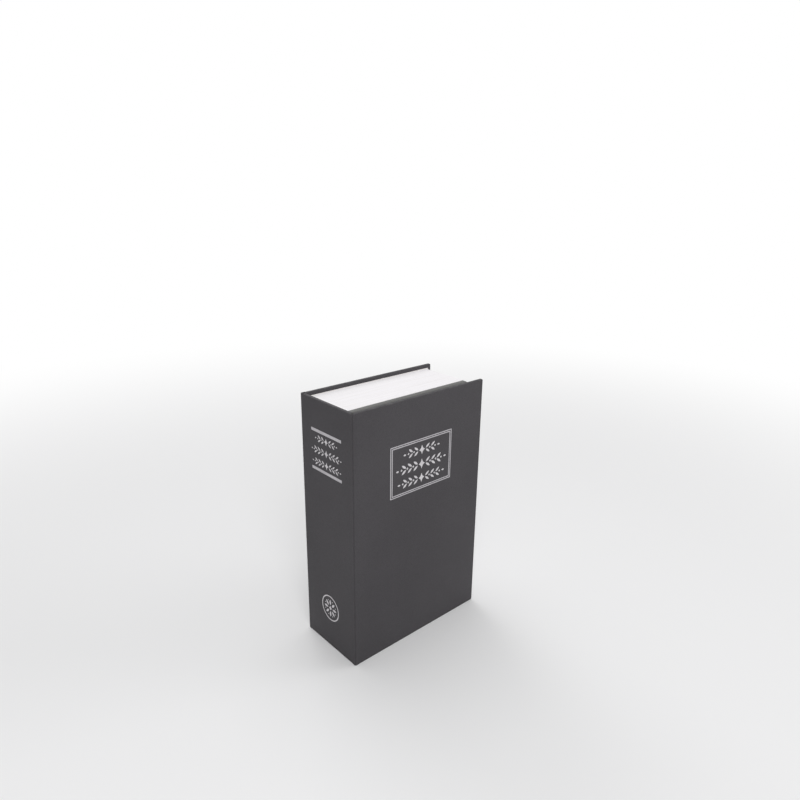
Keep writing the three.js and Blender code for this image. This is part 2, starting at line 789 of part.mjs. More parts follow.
function makeBackPlate() {
  const side = backPlateWidth / 2;
  const low = backPlateInset - bodyLength / 2;
  const high = screwPlaces[1][1] + screwHeadRadius + backPlateLand;
  const corners = [backPlateCorner, backPlateCorner, backPlateCorner, backPlateCorner];
  const plate = alongDepth(roundedOutline(-side, side, low, high, corners), bodyDepth, backPlateFace);
  const holes = screwPlaces.map(([x, z]) =>
    depthBar(screwRadius + screwHoleClearance, bodyDepth - overrun, backPlateFace + overrun, x, z, smallSteps),
  );
  return named("lock_back_plate", cut(plate, ...holes), "brightSteel");
}

// A pan-head screw whose head lies on the far side of a face, its shank running towards -Y.
function makeScrew(name, size, face, x, z, finish) {
  const headFar = face + size.headHeight;
  const head = depthBar(size.headRadius, face, headFar, x, z, barrelSteps);
  const shank = depthBar(size.radius, face - size.depth, face + size.headHeight / 2, x, z, smallSteps);
  const slot = block(
    [x - size.headRadius - overrun, headFar - screwSlotDepth, z - screwSlotWidth / 2],
    [x + size.headRadius + overrun, headFar + overrun, z + screwSlotWidth / 2],
  );
  return named(name, cut(join(head, shank), slot), finish);
}

function makeScrews() {
  const plateScrew = {
    radius: screwRadius,
    headRadius: screwHeadRadius,
    headHeight: screwHeadHeight,
    depth: screwDepth + backPlateThickness,
  };
  const fixing = {
    radius: fixingScrewRadius,
    headRadius: fixingHeadRadius,
    headHeight: fixingHeadHeight,
    depth: fixingDepth + lidSheet,
  };
  const fixingHeight = plateLength / 2 - fixingFromEnd;
  const screws = screwPlaces.map(([x, z], index) =>
    makeScrew("back_plate_screw_" + (index + 1), plateScrew, backPlateFace, x, z, "brightSteel"),
  );
  screws.push(makeScrew("lock_fixing_screw_1", fixing, lidSheet, 0, -fixingHeight, "brightSteel"));
  screws.push(makeScrew("lock_fixing_screw_2", fixing, lidSheet, 0, fixingHeight, "brightSteel"));
  return screws;
}

// The thumb knob: a low round base with a tall arched fin across it.
function makeKnob() {
  const under = -plateThickness - knobPlateGap;
  const baseTop = under - knobBaseThickness;
  const top = -plateThickness - knobHeight;
  const base = new THREE.LatheGeometry(
    [
      new THREE.Vector2(0, 0),
      new THREE.Vector2(knobBaseRadius, 0),
      new THREE.Vector2(knobBaseRadius, knobBaseThickness - finRound),
      new THREE.Vector2(knobBaseRadius - finRound, knobBaseThickness),
      new THREE.Vector2(0, knobBaseThickness),
    ],
    roundSteps,
  )
    .rotateX(Math.PI)
    .translate(0, under, knobOffset);
  const finFoot = -plateThickness - finPlateGap;
  const arch = new THREE.Shape();
  arch.absellipse(0, finFoot, finLength / 2 - finRound, finFoot - top - finRound, Math.PI, 2 * Math.PI, false);
  const fin = new THREE.ExtrudeGeometry(arch, {
    depth: finThickness - 2 * finRound,
    bevelEnabled: true,
    bevelThickness: finRound,
    bevelSize: finRound,
    bevelSegments: bevelSteps,
    curveSegments: smallSteps,
  }).translate(0, 0, knobOffset - finThickness / 2 + finRound);
  const trimmed = cut(
    fin,
    block(
      [-finLength, finFoot, knobOffset - finThickness],
      [finLength, finFoot + overrun, knobOffset + finThickness],
    ),
  );
  const socket = depthBar(stubRadius + stubClearance, under - stubLength, overrun, 0, knobOffset);
  const web = block(
    [-knobBaseRadius / 2, baseTop, knobOffset - finThickness / 2],
    [knobBaseRadius / 2, finFoot, knobOffset + finThickness / 2],
  );
  return named("thumb_knob", cut(join(base, trimmed, web), socket), "lockBlack");
}

// The spindle is turned: stub, shaft, collar, neck, a square drive for the tongue and a stud.
function makeSpindle() {
  const steps = [
    [stubRadius, -plateThickness - knobPlateGap - stubLength + stubClearance],
    [shaftRadius, -plateThickness],
    [collarRadius, collarPlateGap],
    [neckRadius, bodyDepth - bodyLedge - collarPlateGap],
    [studRadius, tongueDepth - tongueScrewGap],
  ];
  const profile = [new THREE.Vector2(0, steps[0][1])];
  steps.forEach(([radius, start], index) => {
    const stop = index + 1 < steps.length ? steps[index + 1][1] : studEnd;
    profile.push(new THREE.Vector2(radius, start));
    profile.push(new THREE.Vector2(radius, stop));
  });
  profile.push(new THREE.Vector2(0, studEnd));
  const turned = new THREE.LatheGeometry(profile, roundSteps).translate(0, 0, knobOffset);
  const half = driveSide / 2;
  const drive = block(
    [-half, bodyDepth, knobOffset - half],
    [half, tongueDepth + tongueThickness, knobOffset + half],
  );
  const flat = block(
    [-neckRadius, barDepth - barClearance / 2, knobOffset - neckRadius - overrun],
    [neckRadius, bodyDepth, knobOffset - neckRadius + neckFlatDepth],
  );
  return named("lock_spindle", cut(join(turned, drive), flat), "castZinc");
}

// The tongue is pressed from strip: its outline seen from the face, and seen from the side the crank that
// sets its end deeper than its boss.
function makeTongue() {
  const radius = tongueWidth / 2;
  const tip = knobOffset + tongueLength - radius;
  const outline = new THREE.Shape();
  outline.moveTo(radius, knobOffset);
  outline.lineTo(radius, tip);
  outline.absarc(0, tip, radius, 0, Math.PI, false);
  outline.lineTo(-radius, knobOffset);
  const seen = alongDepth(outline, tongueDepth, tongueDepth + tongueThickness + tongueCrank);
  const side = new THREE.Shape();
  const crankLow = knobOffset + crankStart;
  const crankHigh = crankLow + crankLength;
  const end = knobOffset + tongueLength + overrun;
  side.moveTo(tongueDepth, knobOffset);
  side.lineTo(tongueDepth, crankLow);
  side.lineTo(tongueDepth + tongueCrank, crankHigh);
  side.lineTo(tongueDepth + tongueCrank, end);
  side.lineTo(tongueDepth + tongueCrank + tongueThickness, end);
  side.lineTo(tongueDepth + tongueCrank + tongueThickness, crankHigh);
  side.lineTo(tongueDepth + tongueThickness, crankLow);
  side.lineTo(tongueDepth + tongueThickness, knobOffset);
  const strip = new THREE.ExtrudeGeometry(side, { depth: tongueWidth + 2 * overrun, bevelEnabled: false })
    .translate(0, 0, -radius - overrun)
    .applyMatrix4(new THREE.Matrix4().makeBasis(depthAxis, heightAxis, acrossAxis));
  const arm = meet(seen, strip);
  const boss = depthBar(tongueBossRadius, tongueDepth, tongueDepth + tongueThickness, 0, knobOffset);
  const half = driveSide / 2 + driveClearance;
  const hole = block(
    [-half, tongueDepth - overrun, knobOffset - half],
    [half, tongueDepth + tongueThickness + overrun, knobOffset + half],
  );
  return named("cam_tongue", cut(join(arm, boss), hole), "brightSteel");
}

function makeWasherAndNut() {
  const bore = (near, far) => depthBar(studRadius + studClearance, near, far, 0, knobOffset, smallSteps);
  const washerFar = washerDepth + washerThickness;
  const washer = cut(
    depthBar(washerRadius, washerDepth, washerFar, 0, knobOffset),
    bore(washerDepth - overrun, washerFar + overrun),
  );
  const hexSides = 6;
  const nutRadius = nutAcross / 2 / Math.cos(Math.PI / hexSides);
  const nutFar = nutDepth + nutThickness;
  const nut = cut(
    depthBar(nutRadius, nutDepth, nutFar, 0, knobOffset, hexSides),
    bore(nutDepth - overrun, nutFar + overrun),
  );
  return [named("cam_washer", washer, "darkSteel"), named("cam_nut", nut, "darkSteel")];
}

// The reset lever slides along the lock behind the dials; its bent tab stands past the body's side.
function makeLever() {
  const side = bodyWidth / 2;
  const far = bodyDepth - barClearance / 2;
  const near = far - leverThickness;
  const low = leverEndWall + leverClearance - bodyLength / 2;
  const high = low + leverWidth;
  const blade = block([side - leverInside, near, low], [side + leverOutside, far, high]);
  const tab = block([side + leverOutside - leverThickness, near, low], [side + leverOutside, far + leverTabHeight, high]);
  return named("reset_lever", join(blade, tab), "brightSteel");
}

function makeLock() {
  const dials = dialHeights.flatMap((height, index) => [makeDial(index), makeSleeve(index)]);
  return groupAt(
    lockX,
    lidFace,
    lockHeight,
    makePlate(),
    makeBorder(),
    makeBody(),
    makeAxle(),
    ...dials,
    makeBar(),
    makeSpring(),
    makeBackPlate(),
    ...makeScrews(),
    makeKnob(),
    makeSpindle(),
    makeTongue(),
    ...makeWasherAndNut(),
    makeLever(),
  );
}

const bookSafe = new THREE.Group();
bookSafe.add(...makeCase(), makePageFrame(), makeTray(), makeStrike(), ...makeHinge(), makeLid(), makeLock());

export default bookSafe;
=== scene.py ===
# Book safe, dressed for the camera. Metres, +Z up; the spine is at -X and the front cover at -Y.
import json
import math
import bmesh
import bpy
from mathutils import Matrix, Vector


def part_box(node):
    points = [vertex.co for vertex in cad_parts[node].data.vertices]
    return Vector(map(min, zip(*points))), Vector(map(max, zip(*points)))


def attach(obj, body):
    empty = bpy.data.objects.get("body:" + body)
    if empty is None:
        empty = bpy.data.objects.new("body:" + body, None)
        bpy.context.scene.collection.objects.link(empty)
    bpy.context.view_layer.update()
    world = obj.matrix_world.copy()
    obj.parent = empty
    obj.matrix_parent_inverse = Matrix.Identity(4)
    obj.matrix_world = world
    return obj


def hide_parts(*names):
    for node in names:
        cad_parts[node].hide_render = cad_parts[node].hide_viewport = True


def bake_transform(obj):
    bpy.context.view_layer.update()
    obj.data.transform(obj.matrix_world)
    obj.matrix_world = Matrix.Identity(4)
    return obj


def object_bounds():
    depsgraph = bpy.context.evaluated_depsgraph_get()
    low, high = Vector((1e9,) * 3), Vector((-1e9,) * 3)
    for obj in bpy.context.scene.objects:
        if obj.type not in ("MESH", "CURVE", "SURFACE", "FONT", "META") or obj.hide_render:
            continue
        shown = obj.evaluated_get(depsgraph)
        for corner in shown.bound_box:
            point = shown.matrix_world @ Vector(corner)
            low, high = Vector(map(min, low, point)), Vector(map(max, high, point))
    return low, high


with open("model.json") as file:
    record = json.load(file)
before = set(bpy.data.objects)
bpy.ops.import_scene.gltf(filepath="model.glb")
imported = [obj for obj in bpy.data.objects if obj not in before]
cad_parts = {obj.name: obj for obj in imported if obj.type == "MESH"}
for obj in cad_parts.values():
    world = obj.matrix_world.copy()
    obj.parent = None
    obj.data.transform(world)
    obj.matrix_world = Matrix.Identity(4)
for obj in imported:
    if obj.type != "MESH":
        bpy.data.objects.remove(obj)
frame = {"nodes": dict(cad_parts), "record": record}
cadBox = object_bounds()
nodes = frame["nodes"]
mm = 0.001
bookLow, bookHigh = cadBox
print("frame loaded:", len(nodes), "nodes")


# the standing book is seen from its spine side, a little from above

view = {
    "azimuth": -41.74, "elevation": 18.41, "roll": 0.62, "distance": 0.4672,
    "focalPixels": 653.2, "imagePixels": 800, "sensor": 36, "nearest": 0.01,
    "asideBy": 0.0034, "raisedBy": 0.0757, "aimHeight": 0.09,
}


def placeCamera(v):
    az, el, roll = (math.radians(v[k]) for k in ("azimuth", "elevation", "roll"))
    back = Vector((math.sin(az) * math.cos(el), -math.cos(az) * math.cos(el), math.sin(el)))
    right = Vector((0, 0, 1)).cross(back).normalized()
    up = back.cross(right)
    eye = Vector((0, 0, v["aimHeight"])) + back * v["distance"] + right * v["asideBy"] + up * v["raisedBy"]
    turn = Matrix.Rotation(roll, 3, back)
    right, up = turn @ right, turn @ up
    data = bpy.data.cameras.new("view")
    data.lens = v["focalPixels"] / v["imagePixels"] * v["sensor"]
    data.sensor_width = v["sensor"]
    data.clip_start = v["nearest"]
    camera = bpy.data.objects.new("view", data)
    bpy.context.scene.collection.objects.link(camera)
    basis = Matrix((right, up, back)).transposed().to_4x4()
    camera.matrix_world = Matrix.Translation(eye) @ basis
    bpy.context.scene.camera = camera


placeCamera(view)


# shader tools

def hexColour(text):
    # a colour as a screen shows it, such as "8a8378", in linear light
    parts = [int(text[i:i + 2], 16) / 255 for i in (0, 2, 4)]
    return tuple(c / 12.92 if c <= 0.04045 else ((c + 0.055) / 1.055) ** 2.4 for c in parts) + (1,)


def feed(tree, socket, item):
    if isinstance(item, Value):
        tree.links.new(item.socket, socket)
    elif item is not None:
        socket.default_value = item


class Value:
    # wraps an output socket, so that shader maths reads as an expression
    def __init__(self, tree, socket):
        self.tree = tree
        self.socket = socket

    def maths(self, operation, other=None, flipped=False):
        made = self.tree.nodes.new("ShaderNodeMath")
        made.operation = operation
        pair = (other, self) if flipped else (self, other)
        for slot, item in zip(made.inputs, pair):
            feed(self.tree, slot, item)
        return Value(self.tree, made.outputs[0])

    def __add__(self, other):
        return self.maths("ADD", other)

    def __radd__(self, other):
        return self.maths("ADD", other, True)

    def __sub__(self, other):
        return self.maths("SUBTRACT", other)

    def __rsub__(self, other):
        return self.maths("SUBTRACT", other, True)

    def __mul__(self, other):
        return self.maths("MULTIPLY", other)

    def __rmul__(self, other):
        return self.maths("MULTIPLY", other, True)

    def __abs__(self):
        return self.maths("ABSOLUTE")

    def atMost(self, other):
        return self.maths("MINIMUM", other)


def weighed(shares, *values):
    # the sum of the values, each times its share
    total = shares[0] * values[0]
    for share, value in zip(shares[1:], values[1:]):
        total = total + share * value
    return total


class NodeTree:
    # grows by one node at a time: its type, its settings and what its sockets take
    def __init__(self, tree):
        self.tree = tree

    def node(self, kind, settings=None, inputs=None, output=0):
        made = self.tree.nodes.new(kind)
        for name, value in (settings or {}).items():
            setattr(made, name, value)
        for name, item in (inputs or {}).items():
            feed(self.tree, made.inputs[name], item)
        if made.outputs:
            return Value(self.tree, made.outputs[output])

    def seenOrMirrored(self):
        # one for what the camera sees, in metal and through glass too
        direct, mirrored, passed = (self.node("ShaderNodeLightPath", output=ray) for ray in
                                    ("Is Camera Ray", "Is Glossy Ray", "Is Transmission Ray"))
        return (direct + mirrored + passed).atMost(1.0)


class Finish(NodeTree):
    # one material and the nodes that make it
    def __init__(self, name, **constants):
        self.material = bpy.data.materials.new(name)
        self.material.use_nodes = True
        super().__init__(self.material.node_tree)
        self.shader = self.tree.nodes["Principled BSDF"]
        for socket, value in constants.items():
            self.shader.inputs[socket.replace("_", " ")].default_value = value
        self.place = self.node("ShaderNodeTexCoord", output="Object")

    def axes(self):
        split = self.node("ShaderNodeSeparateXYZ", None, {0: self.place})
        return [Value(self.tree, out) for out in split.socket.node.outputs]

    def stretched(self, factors):
        return self.node("ShaderNodeVectorMath", {"operation": "MULTIPLY"}, {0: self.place, 1: factors})

    def noise(self, scale, detail, rough, twist=0.0, vector=None):
        return self.node("ShaderNodeTexNoise", None,
                         {"Vector": vector or self.place, "Scale": scale, "Detail": detail,
                          "Roughness": rough, "Distortion": twist})

    def cells(self, feature, scale, vector=None):
        return self.node("ShaderNodeTexVoronoi", {"feature": feature},
                         {"Vector": vector or self.place, "Scale": scale})

    def softCells(self, scale, soft, vector=None):
        return self.node("ShaderNodeTexVoronoi", {"feature": "SMOOTH_F1"},
                         {"Vector": vector or self.place, "Scale": scale, "Smoothness": soft})

    def between(self, value, low, high):
        # rises from none to one between the two values
        return self.node("ShaderNodeMapRange", {"interpolation_type": "SMOOTHSTEP"},
                         {"Value": value, "From Min": low, "From Max": high})

    def mix(self, factor, first, second, how="MIX"):
        first, second = (hexColour(item) if isinstance(item, str) else item for item in (first, second))
        return self.node("ShaderNodeMix", {"data_type": "RGBA", "blend_type": how},
                         {"Factor": factor, 6: first, 7: second}, 2)

    def edge(self, radius, low, high):
        # one where the surface turns a corner within the radius
        rounded = self.node("ShaderNodeBevel", {"samples": 6}, {"Radius": radius})
        flat = self.node("ShaderNodeNewGeometry", output="Normal")
        along = self.node("ShaderNodeVectorMath", {"operation": "DOT_PRODUCT"},
                          {0: rounded, 1: flat}, "Value")
        return self.between(1 - along, low, high)

    def bump(self, height, distance, strength):
        return self.node("ShaderNodeBump", None,
                         {"Height": height, "Distance": distance, "Strength": strength})

    def set(self, **links):
        for socket, item in links.items():
            feed(self.tree, self.shader.inputs[socket.replace("_", " ")], item)
        return self.material


# a pale paper floor that fades to white, and soft lamps

studio = {
    "world": 0.4, "worldColour": (1, 1, 1),
    "lamps": [
        # name, place, aim, size, watts
        ("key", (-0.75, -1.05, 1.0), (0, 0, 0.08), 0.9, 10.5),
        ("side", (1.15, -0.75, 0.7), (0, 0, 0.08), 0.8, 3.5),
        ("top", (0.1, 0.25, 1.5), (0, 0, 0.1), 1.1, 5.0),
        ("back", (0.3, 1.2, 0.9), (0, 0, 0.1), 0.9, 4.0),
    ],
    "floorColour": (0.86, 0.86, 0.865), "floorRough": 0.9, "floorGloss": 0.1,
    "floorRadius": 4.0, "floorCorners": 96, "fade": (0.3, 0.95),
}


def makeFloor(s):
    mesh = bpy.data.meshes.new("studioFloor")
    shape = bmesh.new()
    bmesh.ops.create_circle(shape, cap_ends=True, segments=s["floorCorners"], radius=s["floorRadius"])
    shape.to_mesh(mesh)
    shape.free()
    floor = bpy.data.objects.new("studioFloor", mesh)
    bpy.context.scene.collection.objects.link(floor)
    f = Finish("floorPaper", Roughness=s["floorRough"], Specular_IOR_Level=s["floorGloss"])
    f.set(Base_Color=s["floorColour"] + (1,))
    far = f.node("ShaderNodeVectorMath", {"operation": "LENGTH"}, {0: f.place}, "Value")
    factor = f.between(far, *s["fade"]) * f.seenOrMirrored()
    paper = Value(f.tree, f.shader.outputs[0])
    glow = f.node("ShaderNodeEmission", None, {"Color": (1, 1, 1, 1), "Strength": 1.0})
    blend = f.node("ShaderNodeMixShader", None, {0: factor, 1: paper, 2: glow})
    feed(f.tree, f.tree.nodes["Material Output"].inputs["Surface"], blend)
    mesh.materials.append(f.material)


def makeWorld(s):
    # white where it is seen, dimmer as a light on the book
    world = bpy.data.worlds.new("studio")
    bpy.context.scene.world = world
    world.use_nodes = True
    sky = NodeTree(world.node_tree)
    base = sky.tree.nodes["Background"]
    base.inputs["Color"].default_value = s["worldColour"] + (1,)
    feed(sky.tree, base.inputs["Strength"], sky.seenOrMirrored() * (1 - s["world"]) + s["world"])


def makeLamps(s):
    for name, place, aim, size, watts in s["lamps"]:
        data = bpy.data.lights.new(name, "AREA")
        data.shape = "DISK"
        data.size = size
        data.energy = watts
        lamp = bpy.data.objects.new(name, data)
        bpy.context.scene.collection.objects.link(lamp)
        lamp.location = place
        lamp.rotation_euler = (Vector(aim) - Vector(place)).to_track_quat("-Z", "Y").to_euler()


makeFloor(studio)
makeWorld(studio)
makeLamps(studio)
bpy.context.scene.view_settings.view_transform = "Standard"
print("camera, floor and light placed")


# Finishes. A noise is given by its scale, detail, roughness and twist, and a mask by the two
# values between which it rises; its share is how far it tints. Colours are as a screen shows them.

leather = {
    "colour": "413f42", "dark": "3b393c", "light": "484649", "worn": "6e6b6e",
    # the crease colour is painted shade in the grain's creases, and the pebble-top colour a painted
    # highlight
    "paintedCreaseShade": "232124", "crown": "676467", "gloss": 0.3, "rough": 0.66, "depth": 0.07 * mm,
    "drift": (14, 4, 0.6), "driftMask": (0.3, 0.7), "evenShare": 0.5,
    "wander": 900.0, "wanderShare": 0.0006,
    "pebble": 1500, "pebbleSoft": 0.35, "pebbleMask": (0.08, 0.62), "pebbleHighlightShare": 0.1,
    "creaseMask": (0.0, 0.16), "creaseShadeShare": 0.5, "fine": (5200, 2, 0.5),
    "edgeMask": (0.1 * mm, 0.9 * mm), "edgeSideShare": 0.7,
    "rubbed": (210, 5, 0.6), "rubbedMask": (0.4, 0.75), "rubbedShare": 0.14,
    "scuff": (75, 6, 0.62, 0.6), "scuffMask": (0.72, 0.84), "scuffShare": 0.14,
    "roughShares": (0.14, -0.1, -0.08),          # fine grain, rubbed edges, scuffs
    "heightShares": (0.55, 0.35, 0.1, 0.3), "bumpShare": 0.7,    # pebbles, creases, fine grain, drift
}


def makeLeatherette(p):
    # grain-pressed paper: small soft pebbles with painted shade in the creases between them and a painted
    # highlight on their tops, paler where hands rub the edges
    f = Finish("leatherette", Metallic=0.0, Specular_IOR_Level=p["gloss"])
    drift = f.noise(*p["drift"])
    wander = f.node("ShaderNodeTexNoise", None, {"Scale": p["wander"]}, "Color")
    warped = f.mix(p["wanderShare"], f.place, wander, "ADD")
    pebble = f.between(f.softCells(p["pebble"], p["pebbleSoft"], warped), *p["pebbleMask"])
    crease = f.between(f.cells("DISTANCE_TO_EDGE", p["pebble"], warped), *p["creaseMask"])
    fine = f.noise(*p["fine"])
    x, y, z = f.axes()
    ends = z.atMost(bookHigh.z - z).atMost(bookHigh.x - x)
    sides = (x - bookLow.x) + (bookHigh.y - abs(y))
    nearEdge = 1 - f.between(ends.atMost(sides * p["edgeSideShare"]), *p["edgeMask"])
    rubbed = nearEdge * f.between(f.noise(*p["rubbed"]), *p["rubbedMask"])
    scuff = f.between(f.noise(*p["scuff"]), *p["scuffMask"]) * p["scuffShare"]
    tone = f.mix(f.between(drift, *p["driftMask"]), p["dark"], p["light"])
    tone = f.mix(p["evenShare"], tone, p["colour"])
    # painted shade: the grain's creases are darkened where light would not reach
    tone = f.mix((1 - crease) * p["creaseShadeShare"], tone, p["paintedCreaseShade"])
    # painted highlight: the pebbles' tops are made paler
    tone = f.mix(pebble * p["pebbleHighlightShare"], tone, p["crown"])
    tone = f.mix((rubbed * p["rubbedShare"] + scuff * crease).atMost(1.0), tone, p["worn"])
    rough = p["rough"] + weighed(p["roughShares"], fine, rubbed, scuff)
    height = weighed(p["heightShares"], pebble, crease, fine, drift)
    return f.set(Base_Color=tone, Roughness=rough, Normal=f.bump(height, p["depth"], p["bumpShare"]))


board = {
    "colour": "8a8378", "fleck": "5c564d", "pale": "a49c8f",
    "gloss": 0.15, "rough": 0.86, "depth": 0.06 * mm,
    "layers": (60, 5, 0.6), "layerStretch": (1.0, 30.0, 1.0),
    "fibres": (900, 4, 0.7, 1.5), "fibreStretch": (1.0, 1.0, 0.25),
    "flecks": (1400, 2, 0.5), "fleckMask": (0.66, 0.74), "fleckShare": 0.7,
    "roughShare": 0.12, "heightShares": (1.0, 0.4), "bumpShare": 0.6,    # fibres, layers
}


def makeGreyboard(p):
    f = Finish("greyboard", Metallic=0.0, Specular_IOR_Level=p["gloss"])
    layers = f.noise(*p["layers"], vector=f.stretched(p["layerStretch"]))
    fibres = f.noise(*p["fibres"], vector=f.stretched(p["fibreStretch"]))
    flecks = f.between(f.noise(*p["flecks"]), *p["fleckMask"])
    tone = f.mix(layers, p["colour"], p["pale"])
    tone = f.mix(flecks * p["fleckShare"], tone, p["fleck"])
    height = weighed(p["heightShares"], fibres, layers)
    return f.set(Base_Color=tone, Roughness=p["rough"] + p["roughShare"] * fibres,
                 Normal=f.bump(height, p["depth"], p["bumpShare"]))


papers = {
    "greyLining": {"colour": "bfb6b4", "shade": "ada4a2", "pale": "ccc4c2", "fleckShare": 0.10},
    "whiteLining": {"colour": "e9e6e4", "shade": "d8d4d0", "pale": "f2f0ee", "fleckShare": 0.06},
}
paperGrain = {
    "fleck": "6f6862", "gloss": 0.2, "rough": 0.8, "depth": 0.04 * mm,
    "pulp": (950, 4, 0.6), "pulpMask": (0.3, 0.7), "evenShare": 0.8,
    "drift": (26, 3, 0.5), "driftMask": (0.35, 0.7), "driftShare": 0.16,
    "fibres": (2600, 3, 0.6, 0.8), "fibreStretch": (1.0, 1.0, 0.35),
    "cockle": (22, 2, 0.5), "cockleStretch": (1.0, 1.0, 0.45),
    "flecks": (1900, 1, 0.5), "fleckMask": (0.7, 0.78),
    "roughShare": 0.14, "heightShares": (0.25, 0.1, 6.0), "bumpShare": 0.8,    # fibres, pulp, cockle
}


def makePaper(name, p, g):
    # uncoated lining paper, a little cockled where the paste pulled it
    f = Finish(name, Metallic=0.0, Specular_IOR_Level=g["gloss"])
    pulp = f.noise(*g["pulp"])
    drift = f.noise(*g["drift"])
    fibres = f.noise(*g["fibres"], vector=f.stretched(g["fibreStretch"]))
    cockle = f.noise(*g["cockle"], vector=f.stretched(g["cockleStretch"]))
    flecks = f.between(f.noise(*g["flecks"]), *g["fleckMask"])
    tone = f.mix(f.between(pulp, *g["pulpMask"]), p["shade"], p["pale"])
    tone = f.mix(g["evenShare"], tone, p["colour"])
    tone = f.mix(f.between(drift, *g["driftMask"]) * g["driftShare"], tone, p["pale"])
    tone = f.mix(flecks * p["fleckShare"], tone, g["fleck"])
    height = weighed(g["heightShares"], fibres, pulp, cockle)
    return f.set(Base_Color=tone, Roughness=g["rough"] + g["roughShare"] * fibres,
                 Normal=f.bump(height, g["depth"], g["bumpShare"]))


pages = {
    # the darkest colour is painted shade in the gaps between the sheets
    "colour": "f8f6f9", "line": "d9d6d5", "paintedGapShade": "b9b5b1", "warm": "efebe7",
    "gloss": 0.25, "rough": 0.72, "depth": 0.08 * mm,
    "wobble": (16, 1, 0.5), "wobbleBy": 0.25 * mm, "alongShare": 0.0035,
    "sheets": (5200, 2, 0.6), "sheetMask": (0.35, 0.7), "sheetShare": 0.45,
    "packs": (624, 2, 0.5), "packMask": (0.45, 0.75), "packShare": 0.12,
    "gaps": (3120, 2, 0.5), "gapMask": (0.64, 0.76), "gapShadeShare": 0.3,
    "stain": (35, 4, 0.6), "stainMask": (0.5, 0.8), "stainShare": 0.15,
    "roughShare": 0.18, "heightShares": (0.6, 0.8, -0.9), "bumpShare": 0.6,    # sheets, packs, gaps
}


def makePageEdges(p):
    # cut edges of stacked sheets: lines that run round the block, one sheet above another, with painted
    # shade in the gaps between them
    f = Finish("pageEdges", Metallic=0.0, Specular_IOR_Level=p["gloss"])
    x, y, z = f.axes()
    level = y + f.noise(*p["wobble"]) * p["wobbleBy"]
    across, up = x * p["alongShare"], z * p["alongShare"]
    depth = f.node("ShaderNodeCombineXYZ", None, {0: across, 1: level, 2: up})
    sheets = f.noise(*p["sheets"], vector=depth)
    packs = f.noise(*p["packs"], vector=depth)
    gaps = f.between(f.noise(*p["gaps"], vector=depth), *p["gapMask"])
    stain = f.between(f.noise(*p["stain"]), *p["stainMask"])
    tone = f.mix(f.between(sheets, *p["sheetMask"]) * p["sheetShare"], p["colour"], p["line"])
    tone = f.mix(f.between(packs, *p["packMask"]) * p["packShare"], tone, p["warm"])
    # painted shade: the gaps between the sheets are darkened where light would not reach
    tone = f.mix(gaps * p["gapShadeShare"], tone, p["paintedGapShade"])
    tone = f.mix(stain * p["stainShare"], tone, p["warm"])
    height = weighed(p["heightShares"], sheets, packs, gaps)
    return f.set(Base_Color=tone, Roughness=p["rough"] + p["roughShare"] * sheets,
                 Normal=f.bump(height, p["depth"], p["bumpShare"]))


paint = {
    "colour": "4b4b49", "dark": "3c3c3b", "light": "5a5a57", "chip": "7d7d7a", "speck": "2c2c2b",
    "gloss": 0.5, "coat": 0.1, "coatRough": 0.35, "rough": 0.4, "depth": 0.11 * mm,
    "peel": (1050, 2, 0.45, 0.3), "peelMask": (0.3, 0.7), "peelShare": 0.12, "lumps": (840, 0.6),
    "slow": (18, 3, 0.55), "slowMask": (0.3, 0.72), "evenShare": 0.6,
    "specks": (3300, 1, 0.5), "speckMask": (0.68, 0.76), "speckShare": 0.25,
    "bend": (0.7 * mm, 0.05, 0.5), "thin": (240, 4, 0.6), "thinMask": (0.4, 0.66), "bendShare": 0.45,
    "roughShares": (0.12, 0.08), "coatShare": 0.1,    # peel, slow
    "heightShares": (0.7, 0.5), "bumpShare": 0.75,    # peel, lumps
}


def makePaint(p):
    # baked powder paint with orange peel, thin on the bends
    f = Finish("boxPaint", Metallic=0.0, Specular_IOR_Level=p["gloss"], Coat_Roughness=p["coatRough"])
    peel = f.noise(*p["peel"])
    lumps = f.softCells(*p["lumps"])
    slow = f.noise(*p["slow"])
    specks = f.between(f.noise(*p["specks"]), *p["speckMask"])
    bends = f.edge(*p["bend"]) * f.between(f.noise(*p["thin"]), *p["thinMask"])
    tone = f.mix(f.between(slow, *p["slowMask"]), p["dark"], p["light"])
    tone = f.mix(p["evenShare"], tone, p["colour"])
    tone = f.mix(f.between(peel, *p["peelMask"]) * p["peelShare"], tone, p["light"])
    tone = f.mix(specks * p["speckShare"], tone, p["speck"])
    tone = f.mix(bends * p["bendShare"], tone, p["chip"])
    rough = p["rough"] + weighed(p["roughShares"], peel, slow)
    height = weighed(p["heightShares"], peel, lumps)
    return f.set(Base_Color=tone, Roughness=rough, Coat_Weight=p["coat"] + p["coatShare"] * slow,
                 Normal=f.bump(height, p["depth"], p["bumpShare"]))


steels = {
    "brightSteel": {"colour": "c6c8ca", "stain": "9c9a95", "rough": 0.27, "metal": 1.0,
                    "grain": (1.0, 1.0, 22.0)},
    "darkSteel": {"colour": "3a3a3c", "stain": "57524c", "rough": 0.4, "metal": 0.9,
                  "grain": (1.0, 1.0, 6.0)},
    "hingeSteel": {"colour": "3e3e40", "stain": "59585a", "rough": 0.42, "metal": 0.75,
                   "grain": (18.0, 18.0, 1.0)},
}
steelMarks = {
    "bare": "e6e6e6", "depth": 0.012 * mm,
    "lines": (700, 3, 0.65), "lineShare": 0.25,
    "scratch": (120, 2, 0.5), "scratchStretch": (0.5, 3.0, 14.0), "scratchMask": (0.64, 0.7),
    "stain": (90, 5, 0.62), "stainMask": (0.48, 0.75), "stainShare": 0.4,
    "corner": (0.3 * mm, 0.04, 0.4), "cornerShare": 0.5,
    "roughShares": (0.16, 0.14, -0.06), "metalShare": 0.15,     # lines, stains, corners
    "heightShares": (0.5, -0.5), "bumpShare": 0.6,              # lines, scratches
}


